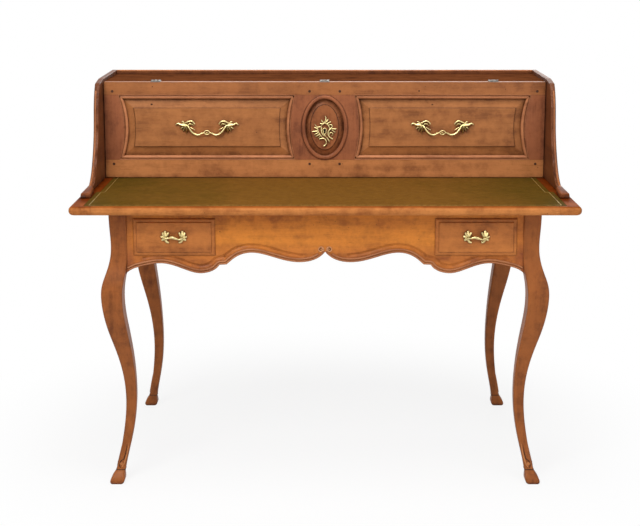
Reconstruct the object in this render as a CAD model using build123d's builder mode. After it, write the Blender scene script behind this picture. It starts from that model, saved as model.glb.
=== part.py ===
from build123d import *
import os

os.makedirs("parts", exist_ok=True)

# A walnut writing desk: four cabriole legs with hoof feet, a carved apron with two
# small drawers, a top with a leather inset, and a low superstructure whose front is
# one lift-up flap. Millimetres. X is the width, Y runs from front to back, Z is up.
# The origin is on the floor, under the middle of the top.

# ---- Driving sizes of the table ----
table_width = 1280
table_depth = 695
table_height = 745
top_thickness = 22
ear_radius = 16
nose_radius = 10
end_board_width = 57
cross_rail_width = 60

leather_thickness = 1
leather_front_margin = 16
leather_side_margin = 36
leather_inner_margin = 46
leather_step_back = 202
leather_step_round = 4.5
leather_corner_round = 8
leather_gap = 0.3

# ---- Driving sizes of the frame under the top ----
end_overhang = 95
front_overhang = 60
back_overhang = 25
post_size = 42
leg_corner_round = 5
hoof_levels = (0, 6, 19, 34)
leg_stations = 18
template_tolerance = 1e-6
apron_thickness = 20
apron_set_back = 2
apron_cope = 8
back_apron_depth = 118

# Each point of the leg's template is a level and a swell past the post's outer face.
# The foot's levels are heights above the floor, the others are drops below the leg's top.
foot_outer = [(0, 14), (6, 16), (19, 11), (34, 1.5), (45, -1.5), (72, -8), (112, -15.4), (165, -22.5)]
shin_outer = [(225, -25), (285, -20)]
foot_inner = [(0, -16), (7, -21), (19, -22), (34, -22.5), (45, -24.5), (72, -30), (112, -39), (165, -48)]
shin_inner = [(225, -52.5), (285, -51.5)]
knee_outer = [(364, -4), (310, 11), (260, 21), (220, 24.5), (180, 20), (152, 10), (126, 3)]
knee_inner = [(364, -45), (310, -37.5), (260, -31), (220, -29.5), (180, -33), (150, -38.5)]
post_outer = [(100, 0.3), (50, 1.8), (0, 3.6)]
rear_lean = 12
rear_lean_top = 550

# ---- Driving sizes of the apron drawers ----
drawer_width = 208
drawer_height = 96
drawer_drop = 18
drawer_side_stile = 16
drawer_lip = 5
drawer_lip_depth = 5
drawer_lip_bevel = 3
drawer_field_margin = 9
drawer_field_rise = 3
drawer_field_taper = 20
drawer_box_depth = 280
drawer_front_tail = 15
drawer_wall = 9
drawer_floor = 5
drawer_floor_lift = 4
drawer_gap = 0.8
guide_wall = 12
guide_ledge = 9
slide_seat = 0.3

# ---- Driving sizes of the superstructure ----
case_height = 270
case_depth = 260.5
case_board = 12
side_board = 14
side_board_inset = 11
case_back_inset = 2
rim_height = 12
rim_width = 12
rim_round = 3
partition_thickness = 9
partition_x = 205
partition_set_back = 18
shelf_height = 135

# ---- Driving sizes of the flap ----
flap_thickness = 20
flap_end_gap = 2
flap_foot_gap = 2
flap_back_gap = 1.5
flap_rail = 36
flap_foot_rail = 50
moulding_width = 12
moulding_depth = 8
stile_end_width = 51
stile_bow = 15
block_end_half = 94
block_bow = 13
groove_front = 11
groove_width = 5.5
tongue_depth = 6
tongue_play = 1
sight_gap = 0.3
field_rail_inset = 25
field_end_inset = 30
field_bow_inset = 20
field_base = 5.5
field_front = 2.5
oval_half_width = 54
oval_half_height = 80
oval_field_half_width = 39
oval_field_half_height = 63
oval_moulding_width = 10
oval_moulding_rise = 4
oval_moulding_round = 3.2

# ---- Driving sizes of the metal fittings ----
peg_radius = 3.5
peg_end_inset = 23
peg_block_x = 42
peg_edge = 26
peg_proud = 0.4
hinge_length = 27
hinge_leaf_width = 18
hinge_leaf_thickness = 1.5
hinge_end_inset = 145
hinge_knuckle_radius = 3
hinge_pin_radius = 1.5
hinge_pin_play = 0.08
hinge_end_play = 0.4
hinge_notch_play = 0.5
escutcheon_thickness = 2.5
scroll_half_width = 22
scroll_half_height = 29
crest_half_width = 10
crest_half_height = 14
keyhole_radius = 3
keyhole_slot = 9
lock_width = 70
lock_height = 74
lock_thickness = 16
lock_drop = 8
bolt_width = 12
bolt_thickness = 3
bolt_set_back = 5.5
bolt_gap = 0.3
bolt_tip_gap = 1.5
bolt_top_room = 13
bolt_overlap = 30
keeper_height = 18
keeper_foot = 20
flap_pull_end_inset = 285
flap_pull_post_half = 50
flap_pull_drop = 19
flap_pull_plate_width = 34
flap_pull_plate_height = 27
flap_pull_wire_radius = 2.6
drawer_pull_post_half = 22
drawer_pull_drop = 9
drawer_pull_plate_width = 17
drawer_pull_plate_height = 36
drawer_pull_wire_radius = 1.9
pull_plate_thickness = 3
pull_stand_off = 6.5
pull_pivot_radius = 1.3
pull_pivot_play = 0.08
pull_side_gap = 0.5
pull_post_wall = 1.4
pull_leaf_tilt = 25
pull_leaf_shift = 4
pull_knob_swell = 0.2
pull_corner_share = 0.8

# ---- Planes and levels that the pieces share ----
half_width = table_width / 2
front_edge_y = -table_depth / 2
back_edge_y = table_depth / 2
leg_top = table_height - top_thickness

post_outer_x = half_width - end_overhang
post_inner_x = post_outer_x - post_size
frame_front_y = front_edge_y + front_overhang
frame_back_y = back_edge_y - back_overhang
frame_middle_y = (frame_front_y + frame_back_y) / 2

apron_front_y = frame_front_y + apron_set_back
apron_back_y = apron_front_y + apron_thickness
rear_apron_front_y = frame_back_y - apron_set_back - apron_thickness

case_half = half_width - side_board_inset - side_board
case_back_y = back_edge_y - case_back_inset
case_top = table_height + case_height
flap_front_y = back_edge_y - case_depth
flap_back_y = flap_front_y + flap_thickness
case_front_y = flap_back_y + flap_back_gap
flap_half = case_half - flap_end_gap
flap_foot = table_height + flap_foot_gap
peg_end_x = flap_half - peg_end_inset
hinge_spread = case_half - hinge_end_inset
flap_pull_x = flap_half - flap_pull_end_inset


def upright(y):
    """A plane that faces the front at depth y, with X across it and Z up it."""
    return Plane((0, y, 0), x_dir=(1, 0, 0), z_dir=(0, -1, 0))


def sideways(x):
    """A plane that faces +X at x, with Y across it and Z up it."""
    return Plane((x, 0, 0), x_dir=(0, 1, 0), z_dir=(1, 0, 0))


def save(name, solid):
    """Label a finished piece and write its file."""
    solid.label = name
    export_step(solid, f"parts/{name}.step")


def block(x_range, y_range, z_range):
    """A plain board between two corners."""
    with BuildPart() as board:
        with BuildSketch(Plane.XY.offset(z_range[0])):
            with Locations(((x_range[0] + x_range[1]) / 2, (y_range[0] + y_range[1]) / 2)):
                Rectangle(x_range[1] - x_range[0], y_range[1] - y_range[0])
        extrude(amount=z_range[1] - z_range[0])
    return board.part


# ---- Top: a slab with a rounded nose, cut into two end boards, two rails and a panel ----


def leather_plan(inset):
    """The leather's plan: wide in front, narrower between the side boards."""
    front_y = front_edge_y + leather_front_margin + inset
    step_y = front_edge_y + leather_front_margin + leather_step_back
    back_y = case_front_y - inset
    wide = half_width - leather_side_margin - inset
    narrow = half_width - leather_inner_margin - inset
    with BuildSketch() as plan:
        with Locations((0, (front_y + step_y) / 2)):
            Rectangle(2 * wide, step_y - front_y)
        with Locations((0, (step_y + back_y) / 2)):
            Rectangle(2 * narrow, back_y - step_y)
        fillet(plan.vertices().group_by(Axis.Y)[0], leather_corner_round)
        fillet(plan.vertices().filter_by_position(Axis.Y, step_y, step_y), leather_step_round)
    return plan.sketch


with BuildPart() as top_slab:
    with BuildSketch(Plane.XY.offset(leg_top)):
        Rectangle(table_width, table_depth)
    extrude(amount=top_thickness)
    fillet(top_slab.edges().filter_by(Axis.Z).group_by(Axis.Y)[0], ear_radius)
    nose = top_slab.edges().filter_by(Axis.Z, reverse=True).group_by(Axis.Y)[:-1]
    fillet([edge for group in nose for edge in group], nose_radius)
    with BuildSketch(Plane.XY.offset(table_height)):
        add(leather_plan(0))
    extrude(amount=-leather_thickness, mode=Mode.SUBTRACT)

rail_half = half_width - end_board_width
top_regions = {
    "top_left_end": (-half_width, -rail_half, front_edge_y, back_edge_y),
    "top_right_end": (rail_half, half_width, front_edge_y, back_edge_y),
    "top_front_rail": (-rail_half, rail_half, front_edge_y, front_edge_y + cross_rail_width),
    "top_back_rail": (-rail_half, rail_half, back_edge_y - cross_rail_width, back_edge_y),
    "top_panel": (
        -rail_half,
        rail_half,
        front_edge_y + cross_rail_width,
        back_edge_y - cross_rail_width,
    ),
}
for name, (x_low, x_high, y_low, y_high) in top_regions.items():
    with BuildPart() as top_piece:
        add(top_slab.part)
        add(block((x_low, x_high), (y_low, y_high), (leg_top, table_height)), mode=Mode.INTERSECT)
    save(name, top_piece.part)

with BuildPart() as leather:
    with BuildSketch(Plane.XY.offset(table_height - leather_thickness)):
        add(leather_plan(leather_gap))
    extrude(amount=leather_thickness)
save("leather_writing_surface", leather.part)

# ---- Legs: one cabriole leg lofted up its template, the same from two sides, then mirrored ----


def template_edge(foot_points, knee_points, post_points):
    """One edge of the leg's template: swells outwards across, heights above the floor up."""
    points = [(swell, height) for height, swell in foot_points]
    points += [(swell, leg_top - drop) for drop, swell in knee_points + post_points]
    return Edge.make_spline([Vector(x, y) for x, y in points])


def swell_at(edge, height):
    """The swell of a template's edge at one height, found by halving."""
    low, high = 0.0, 1.0
    while high - low > template_tolerance:
        middle = (low + high) / 2
        if edge.position_at(middle).Y < height:
            low = middle
        else:
            high = middle
    return edge.position_at(low).X


post_inner = [(drop, -post_size) for drop, swell in post_outer]
leg_outer_edge = template_edge(foot_outer + shin_outer, knee_outer, post_outer)
leg_inner_edge = template_edge(foot_inner + shin_inner, knee_inner, post_inner)
hoof_top = hoof_levels[-1]
leg_rise = (leg_top - hoof_top) / leg_stations
leg_levels = [hoof_top + leg_rise * step for step in range(leg_stations + 1)]


def cabriole(lean):
    """The front left leg, with its foot moved towards the middle by a lean."""
    with BuildPart() as leg:
        for levels in (hoof_levels, leg_levels):
            for height in levels:
                outer_swell = swell_at(leg_outer_edge, height)
                inner_swell = swell_at(leg_inner_edge, height)
                size = outer_swell - inner_swell
                inward = (outer_swell + inner_swell) / 2
                drift = lean * max(0, 1 - height / rear_lean_top)
                with BuildSketch(Plane.XY.offset(height)):
                    with Locations((drift - post_outer_x - inward, frame_front_y - inward)):
                        RectangleRounded(size, size, leg_corner_round)
            loft()
    return leg.part


with BuildPart() as leg_front_left:
    add(cabriole(0))
with BuildPart() as leg_front_right:
    mirror(leg_front_left.part, about=Plane.YZ)
with BuildPart() as leg_back_left:
    mirror(cabriole(rear_lean), about=upright(frame_middle_y))
with BuildPart() as leg_back_right:
    mirror(leg_back_left.part, about=Plane.YZ)
save("leg_front_left", leg_front_left.part)
save("leg_front_right", leg_front_right.part)
save("leg_back_left", leg_back_left.part)
save("leg_back_right", leg_back_right.part)

# ---- Aprons: serpentine boards between the posts, coped to the legs ----
drawer_x = post_inner_x - drawer_side_stile - drawer_width / 2
drawer_top = leg_top - drawer_drop
drawer_z = drawer_top - drawer_height / 2
mouth_half = drawer_width / 2 - drawer_lip
mouth_low = drawer_z - drawer_height / 2 + drawer_lip
mouth_high = drawer_z + drawer_height / 2 - drawer_lip
apron_reach = post_inner_x + apron_cope

# The lower edge's points are drops below the leg's top, outwards from the middle for the
# centre lobe, and inwards from the post for the notch and the lobe under the drawer.
centre_lobe = [(0, 105), (18, 121), (58, 132), (108, 126)]
arch_crest_drop = 108
notch_start = (260, 131)
notch_foot = (252, 138)
side_lobe = [(234, 139), (225, 149), (203, 159), (183, 161), (140, 149), (89, 135), (38, 142), (12, 150)]
ear_drop = 166

with BuildPart() as front_apron:
    notch = (post_inner_x - notch_start[0], leg_top - notch_start[1])
    crest_x = (centre_lobe[-1][0] + notch[0]) / 2
    inner_edge = [(x, leg_top - drop) for x, drop in centre_lobe]
    inner_edge += [(crest_x, leg_top - arch_crest_drop), notch]
    outer_edge = [(post_inner_x - back, leg_top - drop) for back, drop in side_lobe]
    outer_edge.append((apron_reach, leg_top - ear_drop))
    with BuildSketch(upright(apron_front_y)):
        with BuildLine():
            Spline(inner_edge)
            Polyline(notch, (post_inner_x - notch_foot[0], leg_top - notch_foot[1]), outer_edge[0])
            Spline(outer_edge)
            Polyline(outer_edge[-1], (apron_reach, leg_top), (0, leg_top), inner_edge[0])
        make_face()
        mirror(about=Plane.YZ)
        with Locations((-drawer_x, drawer_z), (drawer_x, drawer_z)):
            Rectangle(2 * mouth_half, mouth_high - mouth_low, mode=Mode.SUBTRACT)
    extrude(amount=-apron_thickness)
    add([leg_front_left.part, leg_front_right.part], mode=Mode.SUBTRACT)
save("front_apron", front_apron.part)

with BuildPart() as back_apron:
    rear_y = (rear_apron_front_y, rear_apron_front_y + apron_thickness)
    add(block((-apron_reach, apron_reach), rear_y, (leg_top - back_apron_depth, leg_top)))
    add([leg_back_left.part, leg_back_right.part], mode=Mode.SUBTRACT)
save("back_apron", back_apron.part)

# A side apron's lower edge dips in a middle lobe between two arches, given as steps
# inwards from the posts.
side_lobe_drop = 150
side_arch = [(38, 138), (110, 122)]
side_reach = (frame_back_y - frame_front_y) / 2 - post_size + apron_cope
side_edge = [(side_reach, leg_top - ear_drop)]
side_edge += [(side_reach - apron_cope - inwards, leg_top - drop) for inwards, drop in side_arch]
side_edge += [(0, leg_top - side_lobe_drop)] + [(-y, z) for y, z in reversed(side_edge)]
side_corners = [side_edge[-1], (-side_reach, leg_top), (side_reach, leg_top), side_edge[0]]
with BuildPart() as side_apron_left:
    with BuildSketch(sideways(-(post_outer_x - apron_set_back))):
        with BuildLine():
            Spline([(frame_middle_y + y, z) for y, z in side_edge])
            Polyline([(frame_middle_y + y, z) for y, z in side_corners])
        make_face()
    extrude(amount=apron_thickness)
    add([leg_front_left.part, leg_back_left.part], mode=Mode.SUBTRACT)
with BuildPart() as side_apron_right:
    mirror(side_apron_left.part, about=Plane.YZ)
save("side_apron_left", side_apron_left.part)
save("side_apron_right", side_apron_right.part)

# ---- Drawers: lip-moulded fronts on small boxes, carried in grooved guides ----
box_half = mouth_half - drawer_gap
box_low = mouth_low + drawer_gap
box_high = mouth_high - drawer_gap
box_front_y = apron_front_y + drawer_front_tail
box_back_y = box_front_y + drawer_box_depth


def drawer_front(middle_x):
    """A lip board with a raised field in front and a tail that fills the mouth behind."""
    with BuildPart() as front:
        with BuildSketch(upright(apron_front_y)):
            with Locations((middle_x, drawer_z)):
                Rectangle(drawer_width, drawer_height)
        extrude(amount=drawer_lip_depth)
        lip_edges = front.faces().sort_by(Axis.Y)[0].edges()
        chamfer(lip_edges, drawer_lip_bevel)
        with BuildSketch(upright(apron_front_y - drawer_lip_depth)):
            with Locations((middle_x, drawer_z)):
                Rectangle(
                    drawer_width - 2 * drawer_field_margin,
                    drawer_height - 2 * drawer_field_margin,
                )
        extrude(amount=drawer_field_rise, taper=drawer_field_taper)
        with BuildSketch(upright(apron_front_y)):
            with Locations((middle_x, (box_low + box_high) / 2)):
                Rectangle(2 * box_half, box_high - box_low)
        extrude(amount=-drawer_front_tail)
    return front.part


def drawer_sides(middle_x):
    """The two side boards of a drawer."""
    with BuildPart() as sides:
        for direction in (-1, 1):
            outer = middle_x + direction * box_half
            inner = outer - direction * drawer_wall
            side_x = (min(outer, inner), max(outer, inner))
            add(block(side_x, (box_front_y, box_back_y), (box_low, box_high)))
    return sides.part


def pull_plates(middle_x, middle_z, face_y, post_half, plate_width, plate_height, wire_radius):
    """Two leaf plates with their posts, each post bored across for the bail's pivot."""
    pivot_y = face_y - pull_plate_thickness - pull_stand_off
    post_radius = wire_radius + pull_post_wall
    with BuildPart() as plates:
        for direction in (-1, 1):
            post_x = middle_x + direction * post_half
            with BuildSketch(upright(face_y)):
                leaf_x = post_x + direction * pull_leaf_shift
                with Locations(Location((leaf_x, middle_z, 0), (0, 0, direction * pull_leaf_tilt))):
                    Ellipse(plate_width / 2, plate_height / 2)
                with Locations((post_x, middle_z)):
                    Circle(min(plate_width, plate_height) / 2)
            extrude(amount=pull_plate_thickness)
            with BuildSketch(upright(face_y - pull_plate_thickness)):
                with Locations((post_x, middle_z)):
                    Circle(post_radius)
            extrude(amount=pull_stand_off + post_radius)
            with BuildSketch(sideways(post_x)):
                with Locations((pivot_y, middle_z)):
                    Circle(pull_pivot_radius + pull_pivot_play)
            extrude(amount=2 * post_radius, both=True, mode=Mode.SUBTRACT)
    return plates.part


def pull_bail(middle_x, middle_z, face_y, post_half, drop, wire_radius):
    """A cast bail that hangs from a pivot in each post."""
    pivot_y = face_y - pull_plate_thickness - pull_stand_off
    post_radius = wire_radius + pull_post_wall
    arm_half = post_half - post_radius - pull_side_gap - wire_radius - pull_knob_swell
    corner = drop * pull_corner_share
    route = [
        (middle_x - arm_half, middle_z),
        (middle_x - arm_half + drop / 2, middle_z - drop),
        (middle_x + arm_half - drop / 2, middle_z - drop),
        (middle_x + arm_half, middle_z),
    ]
    with BuildPart() as bail:
        with BuildLine(upright(pivot_y)) as arm:
            FilletPolyline(*route, radius=corner)
        with BuildSketch(Plane(arm.line @ 0, z_dir=arm.line % 0)):
            Circle(wire_radius)
        sweep(path=arm.line)
        for direction in (-1, 1):
            with Locations((middle_x + direction * arm_half, pivot_y, middle_z)):
                Sphere(wire_radius + pull_knob_swell)
            with BuildSketch(sideways(middle_x + direction * arm_half)):
                with Locations((pivot_y, middle_z)):
                    Circle(pull_pivot_radius)
            extrude(amount=direction * (post_half - arm_half + post_radius))
    return bail.part


side_names = {"left": -1, "right": 1}
field_y = apron_front_y - drawer_lip_depth - drawer_field_rise
for side, direction in side_names.items():
    middle_x = direction * drawer_x
    wall_inner = box_half - drawer_wall
    floor_low = box_low + drawer_floor_lift
    save(f"drawer_{side}_front", drawer_front(middle_x))
    save(f"drawer_{side}_sides", drawer_sides(middle_x))
    save(
        f"drawer_{side}_back",
        block(
            (middle_x - wall_inner, middle_x + wall_inner),
            (box_back_y - drawer_wall, box_back_y),
            (floor_low, box_high),
        ),
    )
    save(
        f"drawer_{side}_bottom",
        block(
            (middle_x - wall_inner, middle_x + wall_inner),
            (box_front_y, box_back_y - drawer_wall),
            (floor_low, floor_low + drawer_floor),
        ),
    )
    save(
        f"drawer_{side}_pull_plates",
        pull_plates(
            middle_x,
            drawer_z,
            field_y,
            drawer_pull_post_half,
            drawer_pull_plate_width,
            drawer_pull_plate_height,
            drawer_pull_wire_radius,
        ),
    )
    save(
        f"drawer_{side}_bail",
        pull_bail(
            middle_x,
            drawer_z,
            field_y,
            drawer_pull_post_half,
            drawer_pull_drop,
            drawer_pull_wire_radius,
        ),
    )
    for place, outward in (("inner", -direction), ("outer", direction)):
        web_near = middle_x + outward * (box_half + drawer_gap)
        web_far = web_near + outward * guide_wall
        ledge_near = middle_x + outward * (box_half - drawer_wall)
        web_x = (min(web_near, web_far), max(web_near, web_far))
        ledge_x = (min(ledge_near, web_near), max(ledge_near, web_near))
        guide_y = (apron_back_y, rear_apron_front_y)
        ledge_top = box_low - slide_seat
        with BuildPart() as guide:
            add(block(web_x, guide_y, (ledge_top - guide_ledge, leg_top)))
            add(block(ledge_x, guide_y, (ledge_top - guide_ledge, ledge_top)))
            add(block(ledge_x, guide_y, (box_high + drawer_gap, leg_top)))
        save(f"drawer_{side}_{place}_guide", guide.part)

# ---- Superstructure: two scrolled side boards and a shallow case between them ----
# The scroll's points are steps in front of the flap, with drops below the case's top
# for its brow, and heights above the table for its sweep and its long toe.
brow_points = [(47, -1), (67, 26), (80, 63)]
sweep_points = [(90, 150), (121, 77), (160, 30), (190, 13)]
toe_points = [(300, 12), (310, 11), (315, 7), (315, 0)]
brow_back_y = 10
brow_slope = 3

with BuildPart() as side_board_left:
    scroll = [(flap_front_y - step, case_top - drop) for step, drop in brow_points]
    scroll += [(flap_front_y - step, table_height + height) for step, height in sweep_points]
    toe = [(flap_front_y - step, table_height + height) for step, height in toe_points]
    crest = [(case_back_y, table_height), (case_back_y, case_top + rim_height)]
    crest.append((flap_front_y + brow_back_y, case_top + rim_height - brow_slope))
    with BuildSketch(sideways(-(case_half + side_board))):
        with BuildLine():
            Spline(scroll)
            Polyline(scroll[-1], *toe, *crest, scroll[0])
        make_face()
    extrude(amount=side_board)
with BuildPart() as side_board_right:
    mirror(side_board_left.part, about=Plane.YZ)
save("side_board_left", side_board_left.part)
save("side_board_right", side_board_right.part)

hinge_places = (-hinge_spread, 0, hinge_spread)
hinge_axis_y = (flap_back_y + case_front_y) / 2
hinge_axis_z = case_top + hinge_knuckle_radius - hinge_leaf_thickness
bolt_front_y = flap_back_y + bolt_set_back
bolt_back_y = bolt_front_y + bolt_thickness
notch_radius = hinge_knuckle_radius + hinge_notch_play


def hinge_recess(leaf_y):
    """The seats cut for one row of hinge leaves and the space round their knuckles."""
    with BuildPart() as recess:
        with BuildSketch(Plane.XY.offset(case_top - hinge_leaf_thickness)):
            with Locations(*[(x, (leaf_y + hinge_axis_y) / 2) for x in hinge_places]):
                Rectangle(hinge_length, abs(leaf_y - hinge_axis_y))
        extrude(amount=hinge_leaf_thickness)
        for x in hinge_places:
            with BuildSketch(sideways(x)):
                with Locations((hinge_axis_y, hinge_axis_z)):
                    Circle(notch_radius)
            extrude(amount=hinge_length / 2 + hinge_end_play, both=True)
    return recess.part


with BuildPart() as case_lid:
    add(block((-case_half, case_half), (case_front_y, case_back_y), (case_top - case_board, case_top)))
    add(hinge_recess(case_front_y + hinge_leaf_width), mode=Mode.SUBTRACT)
save("case_top_board", case_lid.part)

with BuildPart() as case_floor:
    floor_y = (case_front_y, case_back_y - case_board)
    add(block((-case_half, case_half), floor_y, (table_height, table_height + case_board)))
    mortise_half = bolt_width / 2 + bolt_gap
    mortise_y = (bolt_front_y - bolt_gap, bolt_back_y + bolt_gap)
    add(
        block((-mortise_half, mortise_half), mortise_y, (table_height, table_height + case_board)),
        mode=Mode.SUBTRACT,
    )
save("case_bottom_board", case_floor.part)

case_inner_top = case_top - case_board
save(
    "case_back_board",
    block(
        (-case_half, case_half),
        (case_back_y - case_board, case_back_y),
        (table_height, case_inner_top),
    ),
)
with BuildPart() as rim:
    rim_y = (case_back_y - rim_width, case_back_y)
    add(block((-case_half, case_half), rim_y, (case_top, case_top + rim_height)))
    fillet(rim.edges().filter_by(Axis.X).group_by(Axis.Z)[-1], rim_round)
save("gallery_back_rim", rim.part)

partition_y = (case_front_y + partition_set_back, case_back_y - case_board)
partition_z = (table_height + case_board, case_inner_top)
for side, direction in side_names.items():
    near = direction * partition_x
    far = direction * (partition_x + partition_thickness)
    save(f"case_partition_{side}", block((min(near, far), max(near, far)), partition_y, partition_z))
shelf_low = table_height + shelf_height
save(
    "case_shelf",
    block((-partition_x, partition_x), partition_y, (shelf_low, shelf_low + partition_thickness)),
)

# ---- Flap: two rails, two bowed stiles and a centre block round three panels ----
sight_low = flap_foot + flap_foot_rail + moulding_width
sight_high = case_top - flap_rail - moulding_width
sight_middle = (sight_low + sight_high) / 2
stile_end_x = flap_half - stile_end_width
stile_bow_x = stile_end_x - stile_bow
block_bow_x = block_end_half + block_bow


def side_panel_face(direction, grow, bow_grow, rail_grow):
    """The face between stile and block: straight along the rails, bowed in at both ends."""
    near = direction * (block_end_half - grow)
    near_bow = direction * (block_bow_x - bow_grow)
    far = direction * (stile_end_x + grow)
    far_bow = direction * (stile_bow_x + bow_grow)
    low = sight_low - rail_grow
    high = sight_high + rail_grow
    with BuildSketch() as face:
        with BuildLine():
            ThreePointArc((far, high), (far_bow, sight_middle), (far, low))
            Line((far, low), (near, low))
            ThreePointArc((near, low), (near_bow, sight_middle), (near, high))
            Line((near, high), (far, high))
        make_face()
    return face.sketch


def oval_face(half_x, half_z):
    """An upright ellipse centred in the middle block."""
    with BuildSketch() as face:
        with Locations((0, sight_middle)):
            Ellipse(half_x, half_z)
    return face.sketch


def sunk_opening(sight, flat_edge):
    """The cutter for one opening: straight through, with a sloping moulding in front."""
    with BuildPart() as cutter:
        with BuildSketch(upright(flap_back_y)):
            add(sight)
        extrude(amount=flap_thickness)
        with BuildSketch(upright(flap_front_y + moulding_depth)):
            add(sight)
        with BuildSketch(upright(flap_front_y)):
            add(flat_edge)
        loft()
    return cutter.part


def fielded_panel(tongue, sight, field):
    """A panel with a thin tongue, a bevel and a raised field."""
    tongue_front_y = flap_front_y + groove_front
    with BuildPart() as panel:
        with BuildSketch(upright(tongue_front_y + groove_width)):
            add(tongue)
        extrude(amount=groove_width)
        with BuildSketch(upright(tongue_front_y)):
            add(sight)
        with BuildSketch(upright(flap_front_y + field_base)):
            add(field)
        loft()
        with BuildSketch(upright(flap_front_y + field_base)):
            add(field)
        extrude(amount=field_base - field_front)
    return panel.part


def groove_cutter(outline):
    """The groove run round an opening for the panel's tongue."""
    with BuildPart() as groove:
        with BuildSketch(upright(flap_front_y + groove_front + groove_width)):
            add(outline)
        extrude(amount=groove_width)
    return groove.part


tongue_room = tongue_depth + tongue_play
with BuildPart() as flap_frame:
    add(block((-flap_half, flap_half), (flap_front_y, flap_back_y), (flap_foot, case_top)))
    for direction in (-1, 1):
        sight_face = side_panel_face(direction, 0, 0, 0)
        flat_face = side_panel_face(direction, moulding_width, moulding_width, moulding_width)
        groove_face = side_panel_face(direction, tongue_room, tongue_room, tongue_room)
        add(sunk_opening(sight_face, flat_face), mode=Mode.SUBTRACT)
        add(groove_cutter(groove_face), mode=Mode.SUBTRACT)
    oval_sight = oval_face(oval_half_width, oval_half_height)
    oval_groove = oval_face(oval_half_width + tongue_room, oval_half_height + tongue_room)
    with BuildSketch(upright(flap_back_y)):
        add(oval_sight)
    extrude(amount=flap_thickness, mode=Mode.SUBTRACT)
    add(groove_cutter(oval_groove), mode=Mode.SUBTRACT)
    add(hinge_recess(flap_back_y - hinge_leaf_width), mode=Mode.SUBTRACT)
    with BuildSketch(upright(flap_back_y)):
        for x in (-peg_end_x, -peg_block_x, peg_block_x, peg_end_x):
            with Locations((x, case_top - peg_edge), (x, flap_foot + peg_edge + moulding_width)):
                Circle(peg_radius)
    extrude(amount=flap_thickness, mode=Mode.SUBTRACT)

flat_low = sight_low - moulding_width
flat_high = sight_high + moulding_width
mitre_x = (
    (stile_end_x + moulding_width, stile_end_x),
    (block_end_half - moulding_width, block_end_half),
)


def rail_region(outer_z, flat_z, sight_z):
    """A rail's outline, with the mitred mouldings that belong to it."""
    edge = [(flap_half, outer_z), (flap_half, flat_z)]
    edge += [(mitre_x[0][0], flat_z), (mitre_x[0][1], sight_z)]
    edge += [(mitre_x[1][1], sight_z), (mitre_x[1][0], flat_z)]
    return edge + [(-x, z) for x, z in reversed(edge)]


def stile_region(direction):
    """A stile's outline: between the rails at its ends, out to its bow in the middle."""
    reach = stile_bow_x - moulding_width
    edge = [(flap_half, flat_high), (mitre_x[0][0], flat_high), (mitre_x[0][1], sight_high)]
    edge += [(reach, sight_high), (reach, sight_low)]
    edge += [(mitre_x[0][1], sight_low), (mitre_x[0][0], flat_low), (flap_half, flat_low)]
    return [(direction * x, z) for x, z in edge]


def block_region():
    """The centre block's outline, out to its bows."""
    reach = block_bow_x + moulding_width
    right = [(mitre_x[1][0], flat_high), (mitre_x[1][1], sight_high), (reach, sight_high)]
    right += [(reach, sight_low), (mitre_x[1][1], sight_low), (mitre_x[1][0], flat_low)]
    return right + [(-x, z) for x, z in reversed(right)]


flap_regions = {
    "flap_top_rail": rail_region(case_top, flat_high, sight_high),
    "flap_bottom_rail": rail_region(flap_foot, flat_low, sight_low),
    "flap_stile_left": stile_region(-1),
    "flap_stile_right": stile_region(1),
    "flap_centre_block": block_region(),
}
for name, outline in flap_regions.items():
    with BuildPart() as frame_piece:
        with BuildSketch(upright(flap_back_y)):
            with BuildLine():
                Polyline(*outline, close=True)
            make_face()
        extrude(amount=flap_thickness)
        add(flap_frame.part, mode=Mode.INTERSECT)
    save(name, frame_piece.part)

for side, direction in side_names.items():
    panel = fielded_panel(
        side_panel_face(direction, tongue_depth, tongue_depth, tongue_depth),
        side_panel_face(direction, -sight_gap, -sight_gap, -sight_gap),
        side_panel_face(direction, -field_end_inset, -field_bow_inset, -field_rail_inset),
    )
    save(f"flap_panel_{side}", panel)
oval_panel = fielded_panel(
    oval_face(oval_half_width + tongue_depth, oval_half_height + tongue_depth),
    oval_face(oval_half_width - sight_gap, oval_half_height - sight_gap),
    oval_face(oval_field_half_width, oval_field_half_height),
)

with BuildPart() as oval_moulding:
    with BuildSketch(upright(flap_front_y)):
        with Locations((0, sight_middle)):
            Ellipse(oval_half_width + oval_moulding_width, oval_half_height + oval_moulding_width)
            Ellipse(oval_half_width, oval_half_height, mode=Mode.SUBTRACT)
    extrude(amount=oval_moulding_rise)
    fillet(oval_moulding.faces().sort_by(Axis.Y)[0].edges(), oval_moulding_round)
save("flap_oval_moulding", oval_moulding.part)

with BuildPart() as pegs:
    for x in (-peg_end_x, -peg_block_x, peg_block_x, peg_end_x):
        for z in (case_top - peg_edge, flap_foot + peg_edge + moulding_width):
            with BuildSketch(upright(flap_back_y)):
                with Locations((x, z)):
                    Circle(peg_radius)
            extrude(amount=flap_thickness + peg_proud)
save("flap_pegs", pegs.part)

# ---- Lock: an escutcheon, a case behind the oval panel and a long bolt to the floor ----
oval_face_y = flap_front_y + field_front
lock_front_y = flap_front_y + groove_front + groove_width
keyhole_z = sight_middle - lock_drop


def keyhole_sketch(extra):
    """A round eye over a straight slot."""
    with BuildSketch() as hole:
        with Locations((0, keyhole_z)):
            Circle(keyhole_radius + extra)
        with Locations((0, keyhole_z - keyhole_slot / 2)):
            Rectangle(keyhole_radius + 2 * extra, keyhole_slot)
    return hole.sketch


with BuildPart() as oval:
    add(oval_panel)
    with BuildSketch(upright(lock_front_y)):
        add(keyhole_sketch(0))
    extrude(amount=flap_thickness, mode=Mode.SUBTRACT)
save("flap_oval_panel", oval.part)

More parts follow.
